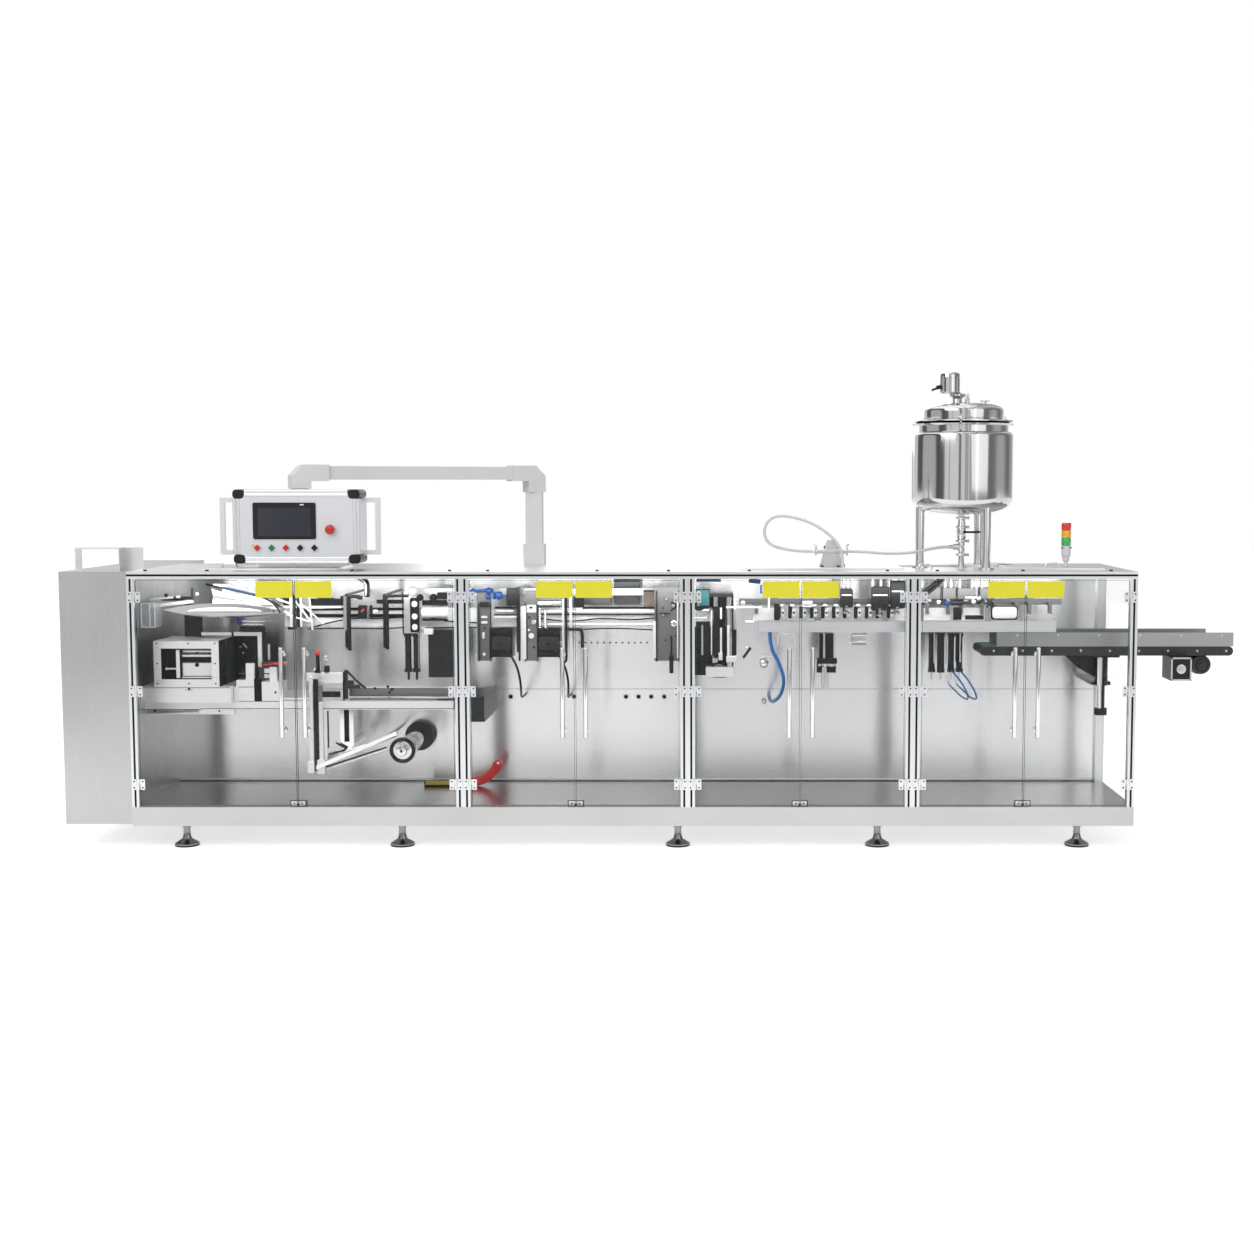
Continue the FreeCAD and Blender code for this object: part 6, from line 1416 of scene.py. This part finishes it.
add("film_bar", "pale_plate",
    [bar((1700, 272, 983), (2200, 272, 983), 6), bar((1700, 272, 928), (2196, 272, 928), 5)])

# %% [markdown]
# The cutter stands at the start of the third bay, between slim bars. Beyond it, grippers carry the pouches
# under the filling heads, and lifting cylinders stand below.

# %% Cutter and its bars
add("cutter_pales", "pale_plate", [block((2476, 2485), (228, 236), (954, 1004), 1),
    block((2476, 2485), (228, 236), (805, 917), 1), block((2437, 2442), (228, 240), (798, 991), 0.8),
    block((2507, 2517), (232, 242), (789, 925), 1), bar((2369, 232, 992), (2430, 232, 992), 4),
    bar((2368, 232, 959), (2420, 232, 959), 4), bar((2503, 240, 1004), (2656, 240, 1004), 5),
    block((2536, 2546), (236, 246), (993, 1045), 1), bar((2686, 202, 1004), (2686, 202, 1052), 4.5),
    bar((2586, 240, 941), (2623, 240, 941), 7), bar((2656, 238, 791), (2737, 238, 791), 6),
    block((2724, 2807), (296, 300), (880, 886), 1), block((2724, 2730), (296, 300), (834, 886), 1),
    block((2800, 2807), (296, 300), (834, 886), 1), block((2470, 2487), (226, 236), (776, 809), 1.5),
    block((2503, 2549), (226, 236), (768, 794), 1.5)])
add("cutter_blacks", "black_anodised", [block((2447, 2474), (232, 242), (785, 1008), 2),
    block((2520, 2548), (288, 300), (792, 904), 2), block((2440, 2505), (240, 252), (699, 764), 3, 10),
    block((2709, 2735), (236, 246), (949, 1020), 2), bar((2576, 244, 785), (2609, 244, 829), 6),
    block((2374, 2432), (230, 240), (1000, 1084), 3), block((2372, 2434), (228, 240), (790, 944), 3)])
cutter_bits = [ball(2575, 236, 1025, 13), ball(2666, 236, 763, 21), ball(2676, 612, 549, 12),
    ball(2594, 240, 828, 8), bar((2400, 224, 800), (2400, 224, 930), 5),
    bar((2384, 224, 1010), (2384, 224, 1075), 4)]
for radius in (16, 24):
    cutter_bits.append(hoop(at(2472, 238, 730), OUT, [(0, radius * MM), (0, (radius + 3) * MM),
        (0.003, (radius + 3) * MM), (0.003, radius * MM)], 32))
add("cutter_chrome", "chrome", cutter_bits)
add("cutter_teal", "cutter_teal", [block((2376, 2430), (226, 230), (1012, 1080), 2)])

# %% [markdown]
# Three dark heads with bright nozzles fill the pouches. Below them a row of grippers repeats at one pitch:
# a black pad, a pale jaw and a pin, made by a loop.

# %% Filling heads and grippers
HEADS = [(2994, 3049, 1003, 1083), (3128, 3204, 991, 1094), (3210, 3273, 999, 1119)]
head_bits, head_pales, head_dark = [], [], []
for x0, x1, z0, z1 in HEADS:
    head_dark.append(block((x0, x1), (232, 250), (z0, z1), 3, 6))
    head_pales.append(block((x0 + 6, x1 - 6), (228, 232), ((z0 + z1) / 2 + 12, (z0 + z1) / 2 + 18), 1))
    head_bits.append(spun(at((x0 + x1) / 2, 246, z0 - 26), UP, [(0, 0.012), (0.006, 0.013),
        (0.014, 0.006), (0.022, 0.006), (0.030, 0.015), (0.034, 0.015)], 20))
head_bits += [bar((2832, 240, 1020), (2873, 240, 1020), 20), ball(3418, 232, 1028, 12),
    ball(3568, 232, 1028, 12), ball(3591, 232, 1044, 12), bar((3532, 244, 1046), (3581, 244, 1046), 10)]
head_dark += [bar((3472, 238, 1024), (3522, 238, 1024), 12),
    block((3482, 3518), (236, 246), (950, 1004), 2), block((3528, 3608), (196, 206), (954, 973), 2)]
head_dark += [bar((3626, 236, 1004), (3650, 236, 1041), 4), bar((3650, 236, 1004), (3626, 236, 1041), 4)]
head_dark += [bent([(3349, 240, 1066), (3380, 240, 1090), (3422, 240, 1128)], 7),
              bent([(3372, 252, 1064), (3402, 252, 1086), (3440, 252, 1126)], 7)]
add("head_blacks", "black_anodised", head_dark)
add("head_chrome", "chrome", head_bits)
add("head_pales", "pale_plate", head_pales + [block((3652, 3758), (244, 252), (955, 1006), 2, 12)])
add("head_outline", "slot_black", [block((3647, 3763), (252, 256), (949, 1011), 2, 12)])

grips, jaws = [], []
for x in np.arange(2724, 3200, 47.3):
    grips.append(block((x, x + 15), (258, 268), (955, 1006), 1.5))
    jaws.append(block((x + 17, x + 30), (254, 262), (962, 998), 2, 5))
    jaws.append(bar((x + 8, 250, 1012), (x + 26, 250, 1012), 5))
    grips.append(plug(x + 24, 253, 980, 5, 2))
add("gripper_pads", "black_plastic", grips)
add("gripper_jaws", "pale_plate", jaws)

# %% [markdown]
# Slim air cylinders lift the heads: each black barrel has a bright rod beside it. A bright coil lies beside
# the first pair. Its turns are a helix: an ellipse whose middle moves along.

# %% Lifting cylinders and the coil
BARRELS = [(2907, 2916, 769, 892), (2942, 2961, 769, 892), (3385, 3396, 756, 892), (3417, 3448, 719, 892),
           (3465, 3486, 756, 892), (3496, 3506, 765, 892)]
RODS = [(2921, 2933, 769, 892), (2966, 2974, 769, 892), (3400, 3408, 760, 892), (3452, 3460, 756, 892),
        (3512, 3521, 765, 892), (2915, 2940, 660, 745)]
lifts_black = [block((x0, x1), (256, 264), (z0, z1), 1.5) for x0, x1, z0, z1 in BARRELS]
lifts_bright = [
    bar(((x0 + x1) / 2, 258, z0), ((x0 + x1) / 2, 258, z1), (x1 - x0) / 2) for x0, x1, z0, z1 in RODS]
lifts_black += [block((2900, 2983), (246, 262), (760, 783), 2),
    block((2903, 2980), (250, 262), (736, 746), 2)]
lifts_bright += [block((2902, 2981), (248, 262), (747, 760), 1.5), ball(2932, 250, 752, 9),
    ball(2960, 250, 752, 9)]
add("lift_blacks", "black_anodised", lifts_black)
add("lift_brights", "bright_steel", lifts_bright)
turns = np.linspace(0, 2 * np.pi * 8, 220)
coil = at(3044, 246, 866) + np.stack(
    [62 * MM * turns / turns[-1], 0.018 * np.sin(turns), 0.024 * np.cos(turns)], -1)
add("lift_coil", "bright_steel", [swept(coil, circle(0.0028, 8), (1, 0, 0))])
print(len(grips), "pieces on the grippers")

# %% [markdown]
# The studio is a white sweep. Big soft lamps stand to the front, above and behind, and a long narrow one
# hangs inside the machine, behind the glass, as the enclosure is bright down to its pan. The floor is a
# plain pale surface that takes the machine's shadow, lifted towards white. Polished steel shows its
# surroundings, so the metal sees a hall of light and dark bands in place of the plain backdrop. The bands
# are listed: where along x, and how bright.

# %% Floor, backdrop and light
FLOOR_ALONG = (-30, 30)
FLOOR_DEPTH = (-4.4, 30)
FLOOR_LIFT = 0.56


def sweep(name, along, depth):
    """A flat floor as a grid of two by two points."""
    across, back = np.meshgrid(np.array(along, float), np.array(depth, float))
    points = np.stack([across, back, np.zeros_like(across)], -1).reshape(-1, 3)
    mesh = bpy.data.meshes.new(name)
    mesh.from_pydata(points.tolist(), [], [(0, 1, 3, 2)])
    piece = bpy.data.objects.new(name, mesh)
    bpy.context.scene.collection.objects.link(piece)
    return piece


floor = sweep("floor", FLOOR_ALONG, FLOOR_DEPTH)
floor_paint = new_material("floor_paint", (0.86, 0.86, 0.86), 0.9)
tree = floor_paint.node_tree
lift = tree.nodes.new("ShaderNodeEmission")
lift.inputs["Color"].default_value = (1, 1, 1, 1)
rays = tree.nodes.new("ShaderNodeLightPath")
seen = tree.nodes.new("ShaderNodeMath")
seen.operation = "MAXIMUM"
seen_or_clear = tree.nodes.new("ShaderNodeMath")
seen_or_clear.operation = "MAXIMUM"
glow = tree.nodes.new("ShaderNodeMath")
glow.operation = "MULTIPLY"
glow.inputs[1].default_value = FLOOR_LIFT
both = tree.nodes.new("ShaderNodeAddShader")
tree.links.new(rays.outputs["Is Camera Ray"], seen.inputs[0])
tree.links.new(rays.outputs["Is Glossy Ray"], seen.inputs[1])
tree.links.new(seen.outputs[0], seen_or_clear.inputs[0])
tree.links.new(rays.outputs["Is Transmission Ray"], seen_or_clear.inputs[1])
tree.links.new(seen_or_clear.outputs[0], glow.inputs[0])
tree.links.new(glow.outputs[0], lift.inputs["Strength"])
tree.links.new(tree.nodes["Principled BSDF"].outputs[0], both.inputs[0])
tree.links.new(lift.outputs[0], both.inputs[1])
tree.links.new(both.outputs[0], tree.nodes["Material Output"].inputs["Surface"])
floor.data.materials.append(floor_paint)

world = bpy.data.worlds.new("studio")
bpy.context.scene.world = world
world.use_nodes = True
sky = world.node_tree
backdrop = sky.nodes["Background"]
# Pairs of the direction's x, from the left wall (-1) to the right wall (1), and a grey.
HALL = [(-1.0, 0.60), (-0.955, 0.60), (-0.92, 0.12), (-0.79, 0.16), (-0.76, 0.30), (-0.72, 0.92),
    (-0.63, 0.95), (-0.60, 0.45), (-0.57, 0.92), (-0.28, 0.95), (-0.25, 0.20), (-0.19, 0.20),
    (-0.165, 0.94), (-0.15, 0.92), (-0.04, 1.00), (-0.02, 0.50), (0.0, 0.42), (0.03, 0.62), (0.06, 0.58),
    (0.085, 0.34), (0.105, 0.85), (0.14, 0.90), (0.17, 0.48), (0.38, 0.46), (0.40, 0.98), (0.475, 0.98),
    (0.50, 0.52), (0.74, 0.42), (0.86, 0.22), (0.93, 0.26), (1.0, 0.55)]
facing = sky.nodes.new("ShaderNodeTexCoord")
parts = sky.nodes.new("ShaderNodeSeparateXYZ")
spread = sky.nodes.new("ShaderNodeMapRange")
spread.inputs["From Min"].default_value = -1
ramp = sky.nodes.new("ShaderNodeValToRGB")
ramp.color_ramp.interpolation = "EASE"
while len(ramp.color_ramp.elements) < len(HALL):
    ramp.color_ramp.elements.new(0.5)
for stop, (where, grey) in zip(ramp.color_ramp.elements, HALL):
    stop.position = (where + 1) / 2
    stop.color = (grey, grey, grey * 1.01, 1)
paths = sky.nodes.new("ShaderNodeLightPath")
direct = sky.nodes.new("ShaderNodeMath")
direct.operation = "MAXIMUM"
choice = sky.nodes.new("ShaderNodeMix")
choice.data_type = "RGBA"
choice.inputs[7].default_value = (1, 1, 1, 1)
sky.links.new(facing.outputs["Generated"], parts.inputs[0])
sky.links.new(parts.outputs["X"], spread.inputs["Value"])
sky.links.new(spread.outputs["Result"], ramp.inputs["Fac"])
sky.links.new(paths.outputs["Is Camera Ray"], direct.inputs[0])
sky.links.new(paths.outputs["Is Transmission Ray"], direct.inputs[1])
sky.links.new(direct.outputs[0], choice.inputs[0])
sky.links.new(ramp.outputs["Color"], choice.inputs[6])
sky.links.new(choice.outputs[2], backdrop.inputs["Color"])

LAMPS = [
    ("key", (-3.4, -5.2, 5.0), (-0.4, 0, 0.8), 5.0, 150),
    ("fill", (4.4, -5.2, 3.2), (0.6, 0, 0.8), 4.5, 60),
    ("top", (0.0, 0.2, 5.4), (0, 0, 0.8), 5.0, 60),
    ("rim", (0.0, 4.6, 3.6), (0, 0, 1.0), 4.0, 50),
    ("inside", (LEFT + 2.1, FRONT + 0.13, 1.08), (LEFT + 2.1, FRONT + 0.40, 0.55), (4.0, 0.13), 8),
]
for name, where, target, width, power in LAMPS:
    lamp = bpy.data.lights.new(name, "AREA")
    lamp.shape = "RECTANGLE"
    lamp.size, lamp.size_y = width if isinstance(width, tuple) else (width, width)
    lamp.energy = power
    holder = bpy.data.objects.new(name, lamp)
    holder.location = where
    holder.visible_camera = False
    holder.rotation_euler = (Vector(target) - Vector(where)).to_track_quat("-Z", "Y").to_euler()
    bpy.context.scene.collection.objects.link(holder)
print(len(LAMPS), "lamps")
